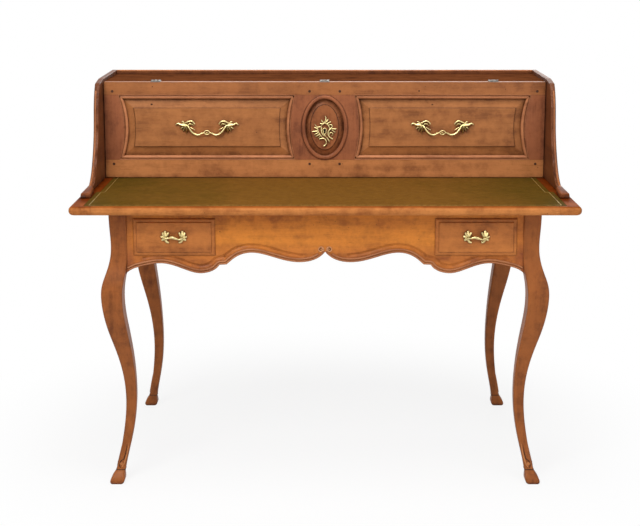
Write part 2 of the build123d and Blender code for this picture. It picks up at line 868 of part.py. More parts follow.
with BuildPart() as escutcheon:
    with BuildSketch(upright(oval_face_y)):
        with Locations((0, keyhole_z)):
            Ellipse(scroll_half_width, scroll_half_height)
        with Locations((0, keyhole_z + scroll_half_height)):
            Ellipse(crest_half_width, crest_half_height)
        with Locations((0, keyhole_z - scroll_half_height)):
            Ellipse(crest_half_width, crest_half_height)
        with Locations((-scroll_half_width, keyhole_z), (scroll_half_width, keyhole_z)):
            Ellipse(crest_half_width, crest_half_height)
        add(keyhole_sketch(0), mode=Mode.SUBTRACT)
    extrude(amount=escutcheon_thickness)
save("escutcheon", escutcheon.part)

lock_middle_z = keyhole_z - keyhole_slot / 2
lock_low = lock_middle_z - lock_height / 2
bolt_top = lock_low + bolt_overlap
channel_half = bolt_width / 2 + bolt_gap
with BuildPart() as lock_case:
    lock_y = (lock_front_y, flap_back_y + lock_thickness)
    add(block((-lock_width / 2, lock_width / 2), lock_y, (lock_low, lock_low + lock_height)))
    channel_y = (bolt_front_y - bolt_gap, bolt_back_y + bolt_gap)
    channel_z = (lock_low, bolt_top + bolt_top_room)
    add(block((-channel_half, channel_half), channel_y, channel_z), mode=Mode.SUBTRACT)
    with BuildSketch(upright(lock_front_y)):
        add(keyhole_sketch(bolt_gap))
    extrude(amount=-(bolt_front_y - bolt_gap - lock_front_y), mode=Mode.SUBTRACT)
save("lock_case", lock_case.part)

bolt_tip = table_height + case_board + bolt_tip_gap
save(
    "lock_bolt",
    block((-bolt_width / 2, bolt_width / 2), (bolt_front_y, bolt_back_y), (bolt_tip, bolt_top)),
)
with BuildPart() as bolt_keeper:
    keeper_y = (flap_back_y, bolt_back_y + bolt_gap + bolt_thickness)
    keeper_z = (flap_foot + keeper_foot, flap_foot + keeper_foot + keeper_height)
    add(block((-bolt_width, bolt_width), keeper_y, keeper_z))
    add(block((-channel_half, channel_half), channel_y, keeper_z), mode=Mode.SUBTRACT)
save("bolt_keeper", bolt_keeper.part)

# ---- Hinges: three butt hinges let into the flap and the case's top board ----
knuckle_length = hinge_length / 3
with BuildPart() as fixed_leaves:
    for x in hinge_places:
        leaf_y = (hinge_axis_y, case_front_y + hinge_leaf_width)
        leaf_z = (case_top - hinge_leaf_thickness, case_top)
        add(block((x - hinge_length / 2, x + hinge_length / 2), leaf_y, leaf_z))
        middle = knuckle_length / 2 + hinge_end_play
        notch_y = (hinge_axis_y, hinge_axis_y + notch_radius)
        add(block((x - middle, x + middle), notch_y, leaf_z), mode=Mode.SUBTRACT)
        for direction in (-1, 1):
            with BuildSketch(sideways(x + direction * middle)):
                with Locations((hinge_axis_y, hinge_axis_z)):
                    Circle(hinge_knuckle_radius)
            extrude(amount=direction * (hinge_length / 2 - middle))
        with BuildSketch(sideways(x)):
            with Locations((hinge_axis_y, hinge_axis_z)):
                Circle(hinge_pin_radius)
        extrude(amount=hinge_length / 2, both=True, mode=Mode.SUBTRACT)
save("hinge_fixed_leaves", fixed_leaves.part)

with BuildPart() as flap_leaves:
    for x in hinge_places:
        leaf_y = (flap_back_y - hinge_leaf_width, flap_back_y)
        add(block((x - hinge_length / 2, x + hinge_length / 2), leaf_y, leaf_z))
        outer_notch = (hinge_length - knuckle_length) / 2
        for direction in (-1, 1):
            near = x + direction * (knuckle_length / 2)
            far = near + direction * outer_notch
            notch_y = (hinge_axis_y - notch_radius, hinge_axis_y)
            add(block((min(near, far), max(near, far)), notch_y, leaf_z), mode=Mode.SUBTRACT)
        tab_y = (hinge_axis_y - hinge_knuckle_radius, hinge_axis_y)
        add(block((x - knuckle_length / 2, x + knuckle_length / 2), tab_y, leaf_z))
        with BuildSketch(sideways(x)):
            with Locations((hinge_axis_y, hinge_axis_z)):
                Circle(hinge_knuckle_radius)
        extrude(amount=knuckle_length / 2, both=True)
        with BuildSketch(sideways(x)):
            with Locations((hinge_axis_y, hinge_axis_z)):
                Circle(hinge_pin_radius + hinge_pin_play)
        extrude(amount=knuckle_length, both=True, mode=Mode.SUBTRACT)
save("hinge_flap_leaves", flap_leaves.part)

with BuildPart() as hinge_pins:
    for x in hinge_places:
        with BuildSketch(sideways(x)):
            with Locations((hinge_axis_y, hinge_axis_z)):
                Circle(hinge_pin_radius)
        extrude(amount=hinge_length / 2, both=True)
save("hinge_pins", hinge_pins.part)

# ---- Flap pulls: a cast bail between two leaf plates on each side panel ----
for side, direction in side_names.items():
    save(
        f"flap_pull_{side}_plates",
        pull_plates(
            direction * flap_pull_x,
            sight_middle,
            oval_face_y,
            flap_pull_post_half,
            flap_pull_plate_width,
            flap_pull_plate_height,
            flap_pull_wire_radius,
        ),
    )
    save(
        f"flap_pull_{side}_bail",
        pull_bail(
            direction * flap_pull_x,
            sight_middle,
            oval_face_y,
            flap_pull_post_half,
            flap_pull_drop,
            flap_pull_wire_radius,
        ),
    )
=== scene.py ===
import math

import bmesh
import bpy
from mathutils import Matrix, Vector


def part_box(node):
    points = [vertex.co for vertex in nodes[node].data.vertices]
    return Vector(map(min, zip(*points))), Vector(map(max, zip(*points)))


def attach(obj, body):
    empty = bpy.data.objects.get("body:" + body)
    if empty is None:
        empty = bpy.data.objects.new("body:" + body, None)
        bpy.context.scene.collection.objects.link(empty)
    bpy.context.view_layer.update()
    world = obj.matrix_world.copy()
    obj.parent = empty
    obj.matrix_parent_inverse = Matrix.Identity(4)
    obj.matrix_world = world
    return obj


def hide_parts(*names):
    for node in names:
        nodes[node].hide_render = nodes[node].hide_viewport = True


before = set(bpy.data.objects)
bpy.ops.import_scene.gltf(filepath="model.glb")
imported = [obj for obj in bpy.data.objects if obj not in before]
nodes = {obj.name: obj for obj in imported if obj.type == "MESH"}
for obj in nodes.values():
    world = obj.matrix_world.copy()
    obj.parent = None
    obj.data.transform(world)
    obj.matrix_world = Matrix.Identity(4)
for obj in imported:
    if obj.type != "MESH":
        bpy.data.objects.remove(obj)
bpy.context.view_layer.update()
mm = 0.001


# ---- Room: a pale floor, a white surround and soft lamps ----
# Nothing here belongs to the desk. The floor keeps the desk's shadow, and it fades to
# the white of the surround away from the feet.
def wired(tree, node, inputs):
    """Set each named input of a shader node to a value, or join it to an earlier socket."""
    for key, value in inputs.items():
        if isinstance(value, bpy.types.NodeSocket):
            tree.links.new(value, node.inputs[key])
        else:
            node.inputs[key].default_value = value
    return node


def joined(tree, kind, inputs=None, **settings):
    """One new shader node, with its settings made and its inputs wired."""
    node = tree.nodes.new(kind)
    for key, value in settings.items():
        setattr(node, key, value)
    return wired(tree, node, inputs or {})


def sum_of(tree, operation, first, second=0.0, third=0.0):
    """The value of one sum on up to three numbers or sockets."""
    return joined(tree, "ShaderNodeMath", {0: first, 1: second, 2: third}, operation=operation).outputs[0]


def spread(tree, value, low, high, floor=0.0, ceiling=1.0, **settings):
    """A value carried from the range low to high onto the range floor to ceiling."""
    return joined(
        tree,
        "ShaderNodeMapRange",
        {"Value": value, "From Min": low, "From Max": high, "To Min": floor, "To Max": ceiling},
        **settings,
    ).outputs["Result"]


def own_place(tree):
    """The place of a shaded point in its own piece's frame, in metres."""
    return joined(tree, "ShaderNodeTexCoord").outputs["Object"]


def background_rays(tree):
    """1 for the rays that see, mirror or look through to the background, and 0 for the light."""
    path = joined(tree, "ShaderNodeLightPath")
    mirrored = sum_of(tree, "MAXIMUM", path.outputs["Is Camera Ray"], path.outputs["Is Glossy Ray"])
    return sum_of(tree, "MAXIMUM", mirrored, path.outputs["Is Transmission Ray"])


room = bpy.context.scene
room.view_settings.view_transform = "Standard"
surround = bpy.data.worlds.new("surround")
surround.use_nodes = True
room.world = surround
surround_light = 0.30
tree = surround.node_tree
background = tree.nodes["Background"]
background.inputs["Color"].default_value = (1.0, 1.0, 1.0, 1.0)
strength = sum_of(tree, "MULTIPLY_ADD", background_rays(tree), 1.0 - surround_light, surround_light)
tree.links.new(strength, background.inputs["Strength"])

floor_size = 14.0
floor_mesh = bpy.data.meshes.new("floor")
shape = bmesh.new()
bmesh.ops.create_grid(shape, x_segments=1, y_segments=1, size=floor_size / 2)
shape.to_mesh(floor_mesh)
shape.free()
floor = bpy.data.objects.new("floor", floor_mesh)
room.collection.objects.link(floor)
floor_paint = bpy.data.materials.new("floor_paint")
floor_paint.use_nodes = True
tree = floor_paint.node_tree
tree.nodes.clear()
fade_start, fade_end, shade_at_feet = 0.5, 1.2, 0.84
distance = joined(tree, "ShaderNodeVectorMath", {0: own_place(tree)}, operation="LENGTH").outputs["Value"]
fade = spread(tree, distance, fade_start, fade_end, shade_at_feet, 1.0, interpolation_type="SMOOTHSTEP")
white_share = sum_of(tree, "MULTIPLY", background_rays(tree), fade)
matt = joined(tree, "ShaderNodeBsdfDiffuse", {"Color": (0.82, 0.82, 0.82, 1.0)})
white = joined(tree, "ShaderNodeEmission", {"Color": (1.0, 1.0, 1.0, 1.0), "Strength": 1.0})
mixed = joined(tree, "ShaderNodeMixShader", {0: white_share, 1: matt.outputs[0], 2: white.outputs[0]})
joined(tree, "ShaderNodeOutputMaterial", {"Surface": mixed.outputs[0]})
floor_mesh.materials.append(floor_paint)

lamp_aim = Vector((0, 0, 0.6))
lamps = {
    "key_lamp": ((-1.3, -2.6, 3.0), 1.8, 76),
    "fill_lamp": ((2.3, -2.8, 1.3), 2.4, 26),
    "top_lamp": ((0.2, -0.7, 3.2), 1.6, 44),
    "back_lamp": ((0.3, 3.0, 1.8), 2.4, 26),
}
for name, (spot, size, watts) in lamps.items():
    light = bpy.data.lights.new(name, "AREA")
    light.shape = "DISK"
    light.size = size
    light.energy = watts
    lamp = bpy.data.objects.new(name, light)
    lamp.location = spot
    lamp.rotation_euler = (lamp_aim - Vector(spot)).to_track_quat("-Z", "Y").to_euler()
    room.collection.objects.link(lamp)

lens = bpy.data.cameras.new("camera")
lens.lens = 73.7
lens.sensor_width = 36.0
lens.shift_y = -0.1295
camera = bpy.data.objects.new("camera", lens)
camera.location = (-0.013, -3.5385, 1.362)
camera_dip = 9.75
camera.rotation_euler = (math.radians(90 - camera_dip), 0, 0)
room.collection.objects.link(camera)
room.camera = camera


# ---- Legs: four cabriole legs of walnut, sawn from one template and rounded by hand ----
# Each foot is carved as a small hoof: a cut runs round above it, drawn as near-black strands of
# painted shade, and a scroll and a button rise on both outer faces in a lighter wood, partly worn
# and partly a painted highlight. Wax has left the wood warm, with dark dirt and painted shade in its corners.
def new_finish(name):
    """A new material, with its node tree and its shader."""
    finish = bpy.data.materials.new(name)
    finish.use_nodes = True
    return finish, finish.node_tree, finish.node_tree.nodes["Principled BSDF"]


def noise(tree, vector, scale, detail, roughness=0.5, distortion=0.0):
    """The grey value of a noise pattern."""
    return joined(
        tree,
        "ShaderNodeTexNoise",
        {
            "Vector": vector,
            "Scale": scale,
            "Detail": detail,
            "Roughness": roughness,
            "Distortion": distortion,
        },
    ).outputs["Fac"]


def ramped(tree, value, stops):
    """A colour that runs through stops, rows of (position, colour), as a value grows."""
    node = joined(tree, "ShaderNodeValToRGB", {"Fac": value})
    elements = node.color_ramp.elements
    elements[0].position, elements[0].color = stops[0]
    elements[1].position, elements[1].color = stops[-1]
    for position, colour in stops[1:-1]:
        elements.new(position).color = colour
    return node.outputs["Color"]


def tinted(tree, blend, factor, under, over):
    """One colour laid over another by a blend and a factor."""
    inputs = {0: factor, 6: under, 7: over}
    return joined(tree, "ShaderNodeMix", inputs, data_type="RGBA", blend_type=blend).outputs[2]


def bumped(tree, height, strength, distance):
    """The normal of a surface that carries a fine relief."""
    inputs = {"Height": height, "Strength": strength, "Distance": distance}
    return joined(tree, "ShaderNodeBump", inputs).outputs["Normal"]


def walnut_finish(name, grain, light, dark, seed, worm=0.35, dirt_and_shade_reach=0.016):
    """Waxed walnut with its grain along one axis, worm holes with painted shade in them, dirt and painted
    shade in corners, and arrises lightened for wear and as a painted highlight.
    """
    finish, tree, shader = new_finish(name)
    place = own_place(tree)
    across = 12.0
    stretch = [1.0 if axis == grain else across for axis in "XYZ"]
    along_grain = joined(
        tree,
        "ShaderNodeMapping",
        {"Vector": place, "Location": (seed * 1.7, seed * 2.3, seed * 3.1), "Scale": stretch},
    ).outputs["Vector"]

    bands = noise(tree, along_grain, 2.2, 4, 0.55, 0.8)
    streaks = noise(tree, along_grain, 9.0, 9, 0.70, 0.4)
    pores = noise(tree, along_grain, 70.0, 4, 0.7)
    clouds = noise(tree, place, 6.0 + seed % 3, 5, 0.62)
    smudges = noise(tree, place, 26.0, 6, 0.7)
    tone = sum_of(tree, "MULTIPLY_ADD", bands, 0.45, sum_of(tree, "MULTIPLY", streaks, 0.30))
    tone = sum_of(tree, "MULTIPLY_ADD", clouds, 0.25, tone)
    middle = tuple(0.45 * a + 0.55 * b for a, b in zip(dark, light))
    stops = [(0.0, dark + (1.0,)), (0.42, middle + (1.0,)), (1.0, light + (1.0,))]
    colour = ramped(tree, spread(tree, tone, 0.42, 0.60), stops)
    lines = spread(tree, streaks, 0.53, 0.68, 0.0, 0.5)
    colour = tinted(tree, "MULTIPLY", lines, colour, (0.36, 0.22, 0.16, 1.0))
    open_pores = spread(tree, pores, 0.56, 0.72, 0.0, 0.45)
    colour = tinted(tree, "MULTIPLY", open_pores, colour, (0.30, 0.16, 0.10, 1.0))
    smears = spread(tree, smudges, 0.58, 0.74, 0.0, 0.55)
    colour = tinted(tree, "MULTIPLY", smears, colour, (0.34, 0.20, 0.15, 1.0))

    # Worm holes: bumped into the surface, and coloured near-black as painted shade inside them.
    holes = joined(tree, "ShaderNodeTexVoronoi", {"Vector": place, "Scale": 62.0})
    holes_with_painted_shade = spread(tree, holes.outputs["Distance"], 0.060, 0.095, 1.0, 0.0)
    chosen = joined(tree, "ShaderNodeSeparateColor", {"Color": holes.outputs["Color"]}).outputs[0]
    holes_with_painted_shade = sum_of(tree, "MULTIPLY", holes_with_painted_shade, sum_of(tree, "LESS_THAN", chosen, worm))
    swarm = spread(tree, noise(tree, place, 5.0, 2, 0.6), 0.44, 0.52)
    holes_with_painted_shade = sum_of(tree, "MULTIPLY", holes_with_painted_shade, swarm)
    colour = tinted(tree, "MIX", holes_with_painted_shade, colour, (0.030, 0.012, 0.005, 1.0))

    # Darkening where nearby surfaces close in: dirt in corners, and painted shade in recesses and between
    # parts.
    corner = joined(tree, "ShaderNodeAmbientOcclusion", {"Distance": dirt_and_shade_reach}, samples=6)
    dirt_and_shade = spread(tree, corner.outputs["AO"], 0.30, 0.92, 0.88, 0.0)
    colour = tinted(tree, "MULTIPLY", dirt_and_shade, colour, (0.13, 0.055, 0.032, 1.0))
    # Convex arrises are lightened, partly as wear and partly as a painted highlight along the edges.
    arris = joined(tree, "ShaderNodeAmbientOcclusion", {"Distance": 0.0035}, samples=6, inside=True)
    worn_and_highlit_edges = spread(tree, arris.outputs["AO"], 0.50, 0.85)
    worn_and_highlit_edges = sum_of(tree, "MULTIPLY", worn_and_highlit_edges, spread(tree, smudges, 0.38, 0.60))
    worn_and_highlit_edges = sum_of(tree, "MULTIPLY", worn_and_highlit_edges, 0.45)
    colour = tinted(tree, "MIX", worn_and_highlit_edges, colour, tuple(1.4 * c for c in light) + (1.0,))

    gloss = sum_of(tree, "MULTIPLY_ADD", streaks, 0.18, 0.30)
    gloss = sum_of(tree, "MULTIPLY_ADD", clouds, 0.16, gloss)
    gloss = sum_of(tree, "MULTIPLY_ADD", dirt_and_shade, 0.25, gloss)
    relief = sum_of(tree, "MULTIPLY_ADD", pores, -0.10, sum_of(tree, "MULTIPLY", streaks, 0.25))
    relief = sum_of(tree, "MULTIPLY_ADD", smudges, -0.15, relief)
    relief = sum_of(tree, "MULTIPLY_ADD", holes_with_painted_shade, -0.9, relief)
    inputs = {
        "Base Color": colour,
        "Roughness": gloss,
        "Normal": bumped(tree, relief, 0.5, 0.0014),
        "Specular IOR Level": 0.16,
        "Coat Weight": 0.05,
        "Coat Roughness": 0.22,
    }
    wired(tree, shader, inputs)
    return finish


def darkened(finish, axis, start, end, tint):
    """Multiply a finish by a tint that grows from nothing to full between two places on an axis."""
    tree = finish.node_tree
    socket = tree.nodes["Principled BSDF"].inputs["Base Color"]
    place = joined(tree, "ShaderNodeSeparateXYZ", {"Vector": own_place(tree)}).outputs[axis]
    factor = spread(tree, place, start * mm, end * mm, interpolation_type="SMOOTHSTEP")
    colour = tinted(tree, "MULTIPLY", factor, socket.links[0].from_socket, tint + (1.0,))
    tree.links.new(colour, socket)


def dress(node_names, finish, arris=0.7):
    """Finish CAD pieces and ease their sharp arrises by a fraction of a millimetre."""
    for node_name in node_names:
        piece = nodes[node_name]
        piece.data.materials.clear()
        piece.data.materials.append(finish)
        if arris:
            weld = piece.modifiers.new("weld", "WELD")
            weld.merge_threshold = 0.00001
            flats = piece.modifiers.new("flats", "DECIMATE")
            flats.decimate_type = "DISSOLVE"
            flats.angle_limit = math.radians(0.2)
            ease = piece.modifiers.new("arris", "BEVEL")
            ease.width = arris * mm
            ease.segments = 2
            ease.limit_method = "ANGLE"
            ease.angle_limit = math.radians(38)
            ease.harden_normals = True


def rounded_lines(name, strands, closed=False):
    """A mesh of round strands. Each strand is a row of (x, y, z, radius) in millimetres."""
    line = bpy.data.curves.new(name, "CURVE")
    line.dimensions = "3D"
    line.bevel_depth = 1.0
    line.bevel_resolution = 2
    line.use_fill_caps = True
    for strand in strands:
        spline = line.splines.new("NURBS")
        spline.points.add(len(strand) - 1)
        for point, (x, y, z, radius) in zip(spline.points, strand):
            point.co = (x * mm, y * mm, z * mm, 1.0)
            point.radius = radius * mm
        spline.order_u = 3
        spline.use_cyclic_u = closed
        spline.use_endpoint_u = not closed
        spline.resolution_u = 4
    holder = bpy.data.objects.new(name, line)
    room.collection.objects.link(holder)
    mesh = bpy.data.meshes.new_from_object(holder)
    bpy.data.objects.remove(holder)
    bpy.data.curves.remove(line)
    return mesh


def add_piece(name, meshes, body, finish, replaced=(), sharp=50):
    """Join meshes into one finished piece that rides on a body."""
    shape = bmesh.new()
    for mesh in meshes:
        shape.from_mesh(mesh)
        bpy.data.meshes.remove(mesh)
    bmesh.ops.remove_doubles(shape, verts=shape.verts, dist=1e-6)
    bmesh.ops.recalc_face_normals(shape, faces=shape.faces)
    for face in shape.faces:
        face.smooth = True
    whole = bpy.data.meshes.new(name)
    shape.to_mesh(whole)
    shape.free()
    whole.set_sharp_from_angle(angle=math.radians(sharp))
    whole.materials.append(finish)
    piece = bpy.data.objects.new(name, whole)
    room.collection.objects.link(piece)
    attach(piece, body)
    if replaced:
        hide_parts(*replaced)


def section_of(node_name, height):
    """The lowest and highest x and y of a CAD piece where a level plane cuts it, in millimetres."""
    shape = bmesh.new()
    shape.from_mesh(nodes[node_name].data)
    geometry = shape.verts[:] + shape.edges[:] + shape.faces[:]
    cut = bmesh.ops.bisect_plane(shape, geom=geometry, plane_co=(0, 0, height * mm), plane_no=(0, 0, 1))
    corners = [item.co / mm for item in cut["geom_cut"] if isinstance(item, bmesh.types.BMVert)]
    shape.free()
    return (
        min(c.x for c in corners),
        max(c.x for c in corners),
        min(c.y for c in corners),
        max(c.y for c in corners),
    )


leg_wood = walnut_finish("walnut_legs", "Z", (0.290, 0.088, 0.020), (0.135, 0.036, 0.009), 1, worm=0.25)
dress(["leg_front_left", "leg_front_right", "leg_back_left", "leg_back_right"], leg_wood, 0)

# The scrolls and buttons are far lighter than the legs, partly as wear and partly as a painted highlight on
# the raised carving.
worn_lit_carving_wood = walnut_finish(
    "walnut_hoof_carving_worn_and_highlit", "Z", (0.52, 0.200, 0.066), (0.36, 0.125, 0.040), 21, worm=0.0, dirt_and_shade_reach=0.002
)
# A near-black wood for dark strands: painted shade in cuts and grooves and along the fields' edges, and old
# nail marks.
shade_and_dirt_wood = walnut_finish("painted_shade_and_dirt", "X", (0.045, 0.016, 0.008), (0.022, 0.008, 0.004), 22, worm=0.0)
frame_middle_y = (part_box("leg_front_left")[0].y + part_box("leg_back_left")[1].y) / 2 / mm
rear_lean, rear_lean_top = 12, 550
hoof_cut_z, hoof_cut_radius = 35, 0.9
# Each point of the carved scroll and of the cut beside it is a share of the leg's width
# from the outer arris, a height above the floor and a radius.
hoof_scroll = [
    (0.78, 106, 0.5),
    (0.80, 94, 1.5),
    (0.82, 80, 2.1),
    (0.80, 67, 2.4),
    (0.77, 56, 2.4),
    (0.70, 47, 2.2),
    (0.58, 42, 1.8),
]
# The cut beside the scroll and the cut round the hoof are near-black strands: painted shade that stands for
# the grooves.
scroll_cut_shade = [
    (0.58, 100, 0.3),
    (0.62, 86, 0.8),
    (0.64, 72, 1.0),
    (0.60, 62, 1.0),
    (0.46, 60, 1.0),
    (0.30, 57, 1.0),
    (0.24, 50, 1.0),
    (0.30, 43, 1.0),
    (0.42, 40, 0.9),
]
button_share, button_height, button_radius = 0.45, 50, 4.4
button = [(button_share, button_height, button_radius)] * 2
button_lifts = (2.0, -1.2)
line_lift = 0.2
carved_faces, cut_shade_faces = [], []
for line, faces in ((hoof_scroll, carved_faces), (scroll_cut_shade, cut_shade_faces), (button, carved_faces)):
    front, outer = [], []
    for step, (share, height, radius) in enumerate(line):
        x_low, x_high, y_low, y_high = section_of("leg_front_left", height)
        lift = button_lifts[step] if line is button else line_lift
        front.append((x_low + share * (x_high - x_low), y_low + lift, height, radius))
        outer.append((x_low + lift, y_low + share * (y_high - y_low), height, radius))
    faces.extend([front, outer])
x_low, x_high, y_low, y_high = section_of("leg_front_left", hoof_cut_z)
corner_set, corner_round = 4.5, 0.8
collar = []
for x, y, away_x, away_y in (
    (x_low, y_low, 1, 1),
    (x_high, y_low, -1, 1),
    (x_high, y_high, -1, -1),
    (x_low, y_high, 1, -1),
):
    first = (x + away_x * corner_set, y, hoof_cut_z, hoof_cut_radius)
    second = (x, y + away_y * corner_set, hoof_cut_z, hoof_cut_radius)
    near = (x + away_x * corner_round, y + away_y * corner_round, hoof_cut_z, hoof_cut_radius)
    collar += [first, near, second] if away_x != away_y else [second, near, first]
for leg, mirror_x, mirror_y in (
    ("front_left", 1, 1),
    ("front_right", -1, 1),
    ("back_left", 1, -1),
    ("back_right", -1, -1),
):
    scrolls = rounded_lines("scrolls", carved_faces)
    ring = rounded_lines("ring", [collar], closed=True)
    cut_shade_lines = rounded_lines("cut_shade_lines", cut_shade_faces)
    lean = Matrix.Identity(4)
    if mirror_y < 0:
        lean[0][2] = -rear_lean / rear_lean_top
        lean[0][3] = rear_lean * mm
    shift = Matrix.Translation((0, (1 - mirror_y) * frame_middle_y * mm, 0))
    mirror = Matrix.Diagonal((mirror_x, mirror_y, 1, 1))
    for mesh in (scrolls, ring, cut_shade_lines):
        mesh.transform(shift @ mirror @ lean)
    add_piece(f"hoof_carving_{leg}", [scrolls], "desk", worn_lit_carving_wood)
    add_piece(f"hoof_cut_{leg}", [ring, cut_shade_lines], "desk", shade_and_dirt_wood)


# ---- Aprons: sawn boards between the legs, the front one carved along its lower edge ----
# Two beads follow the serpentine edge under a broad hollow, up to a pair of small volutes
# at the middle cusp, each with a near-black ring of painted shade inside its turn. The wood is
# the lightest and most orange of the desk, full of worm holes.
apron_wood = walnut_finish("walnut_apron", "X", (0.60, 0.205, 0.030), (0.33, 0.098, 0.019), 2, worm=0.8)
# Painted shade: the apron darkens towards its ends at the legs, more at the left, and towards its lower edge.
darkened(apron_wood, "X", -478, -496, (0.70, 0.66, 0.86))
darkened(apron_wood, "X", 478, 496, (0.80, 0.74, 0.90))
darkened(apron_wood, "Z", 650, 604, (0.80, 0.75, 1.0))
back_apron_wood = walnut_finish("walnut_back_apron", "X", (0.33, 0.110, 0.030), (0.17, 0.052, 0.016), 20)
dress(["back_apron"], back_apron_wood, 0.8)
side_apron_wood = walnut_finish("walnut_side_aprons", "Y", (0.40, 0.135, 0.032), (0.21, 0.062, 0.018), 3)
dress(["side_apron_left", "side_apron_right"], side_apron_wood, 0.8)

apron_front_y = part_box("front_apron")[0].y / mm
apron_end_x, apron_top_z = 505, 700
mouth_start_x, mouth_bottom_z = 250, 592


def apron_edge():
    """The front apron's lower edge from the middle cusp to the right leg, in millimetres."""
    shape = bmesh.new()
    shape.from_mesh(nodes["front_apron"].data)
    bmesh.ops.remove_doubles(shape, verts=shape.verts, dist=1e-6)
    ends = {}
    for edge in shape.edges:
        a, b = (v.co / mm for v in edge.verts)
        at_front = max(a.y, b.y) < apron_front_y + 0.01
        in_right_half = min(a.x, b.x) > -0.01 and max(a.x, b.x) < apron_end_x
        under_mouth = max(a.z, b.z) < mouth_bottom_z or max(a.x, b.x) < mouth_start_x
        under_top = max(a.z, b.z) < apron_top_z
        front_faces = sum(f.normal.y < -0.99 for f in edge.link_faces)
        if at_front and in_right_half and under_mouth and under_top and front_faces == 1:
            ends[(round(a.x, 2), round(a.z, 2))] = a
            ends[(round(b.x, 2), round(b.z, 2))] = b
    shape.free()
    return [Vector((p.x, p.z)) for p in sorted(ends.values(), key=lambda p: p.x)]


def even_steps(points, step):
    """The same line with points a fixed step apart."""
    spaced = [points[0]]
    left = step
    for a, b in zip(points, points[1:]):
        length = (b - a).length
        while length > left:
            a = a + (b - a).normalized() * left
            spaced.append(a)
            length = (b - a).length
            left = step
        left -= length
    return spaced


edge_step = 2.5
edge_points = even_steps(apron_edge(), edge_step)


def along_edge(rise):
    """A line at a fixed rise above the apron's edge, without the loops at its sharp corners."""
    line = []
    for before, here, after in zip(edge_points, edge_points[1:], edge_points[2:]):
        along = (after - before).normalized()
        point = here + Vector((-along.y, along.x)) * rise
        if min((point - other).length for other in edge_points) > 0.97 * rise:
            line.append(point)
    return line


def carved(node_name, strands):
    """A copy of a CAD piece with round hollows cut along the strands."""
    shape = bmesh.new()
    shape.from_mesh(nodes[node_name].data)
    bmesh.ops.remove_doubles(shape, verts=shape.verts, dist=1e-6)
    bmesh.ops.dissolve_limit(shape, angle_limit=math.radians(0.2), verts=shape.verts, edges=shape.edges)
    blank_mesh = bpy.data.meshes.new("blank")
    shape.to_mesh(blank_mesh)
    shape.free()
    blank = bpy.data.objects.new("blank", blank_mesh)
    gouge = bpy.data.objects.new("gouge", rounded_lines("gouge", strands))
    for holder in (blank, gouge):
        room.collection.objects.link(holder)
    cut = blank.modifiers.new("cut", "BOOLEAN")
    cut.operation = "DIFFERENCE"
    cut.solver = "EXACT"
    cut.use_self = True
    cut.object = gouge
    bpy.context.view_layer.update()
    result = bpy.data.meshes.new_from_object(blank.evaluated_get(bpy.context.evaluated_depsgraph_get()))
    for holder in (blank, gouge):
        mesh = holder.data
        bpy.data.objects.remove(holder)
        bpy.data.meshes.remove(mesh)
    result.materials.clear()
    return result


hollow_rise, hollow_centre, hollow_depth = 18.5, 6.0, 2.8
hollow_start_x, hollow_end_x, hollow_run_out = 24, 495, 35
dip_start_x, dip_slope = 75, 0.14
hollow_line = [
    Vector((p.x, p.y - dip_slope * max(0, dip_start_x - p.x)))
    for p in along_edge(hollow_rise)
    if hollow_start_x < p.x < hollow_end_x
]
hollows = []
for side in (-1, 1):
    hollow = []
    for point in hollow_line:
        from_end = min((point - hollow_line[0]).length, (point - hollow_line[-1]).length)
        depth = hollow_depth * min(1, from_end / hollow_run_out)
        hollow.append((side * point.x, apron_front_y - hollow_centre, point.y, hollow_centre + depth))
    hollows.append(hollow)
apron_mesh = carved("front_apron", hollows)
add_piece("carved_apron", [apron_mesh], "desk", apron_wood, ["front_apron"], sharp=25)

# The beads and volutes are lighter and pinker than the apron, partly as wear and partly as a painted
# highlight.
worn_lit_bead_wood = walnut_finish(
    "walnut_apron_beads_worn_and_highlit", "X", (0.56, 0.235, 0.10), (0.34, 0.125, 0.05), 17, worm=0.2, dirt_and_shade_reach=0.004
)
volute_middle = Vector((10.2, 624.5))
volute_steps, volute_round_steps = 26, 12
volute_start, volute_turn = 222, 19
volute_radius, volute_tightening, volute_shade_ring_radius = 6.2, 2.4, 3.6
volute_turns, volute_shade_ring = [], []
for step in range(volute_steps):
    angle = math.radians(volute_start - step * volute_turn)
    outward = Vector((math.cos(angle), math.sin(angle)))
    tightened = max(0, step - volute_round_steps) / (volute_steps - 1 - volute_round_steps)
    volute_turns.append(volute_middle + outward * (volute_radius - volute_tightening * tightened))
    volute_shade_ring.append(volute_middle + outward * volute_shade_ring_radius)
lower_rise, lower_radius, lower_start_x, lower_gap = 2.6, 2.1, 0.8, 7.5
upper_rise, upper_radius, upper_gap = 8.8, 2.3, 6
lower_bead = [
    p for p in along_edge(lower_rise) if p.x > lower_start_x and (p - volute_middle).length > lower_gap
]
upper_bead = [p for p in along_edge(upper_rise) if p.x > volute_middle.x + upper_gap]
bead_y = apron_front_y + 0.1
volute_bead_radius = 1.7
eye_sink, eye_proud, eye_radius, eye_tip_radius = 1.0, 1.8, 2.3, 2.0
shade_ring_sink, shade_ring_radius, shade_ring_steps = 0.3, 0.7, 20
strands, volute_shade_strands, turn_strands = [], [], []
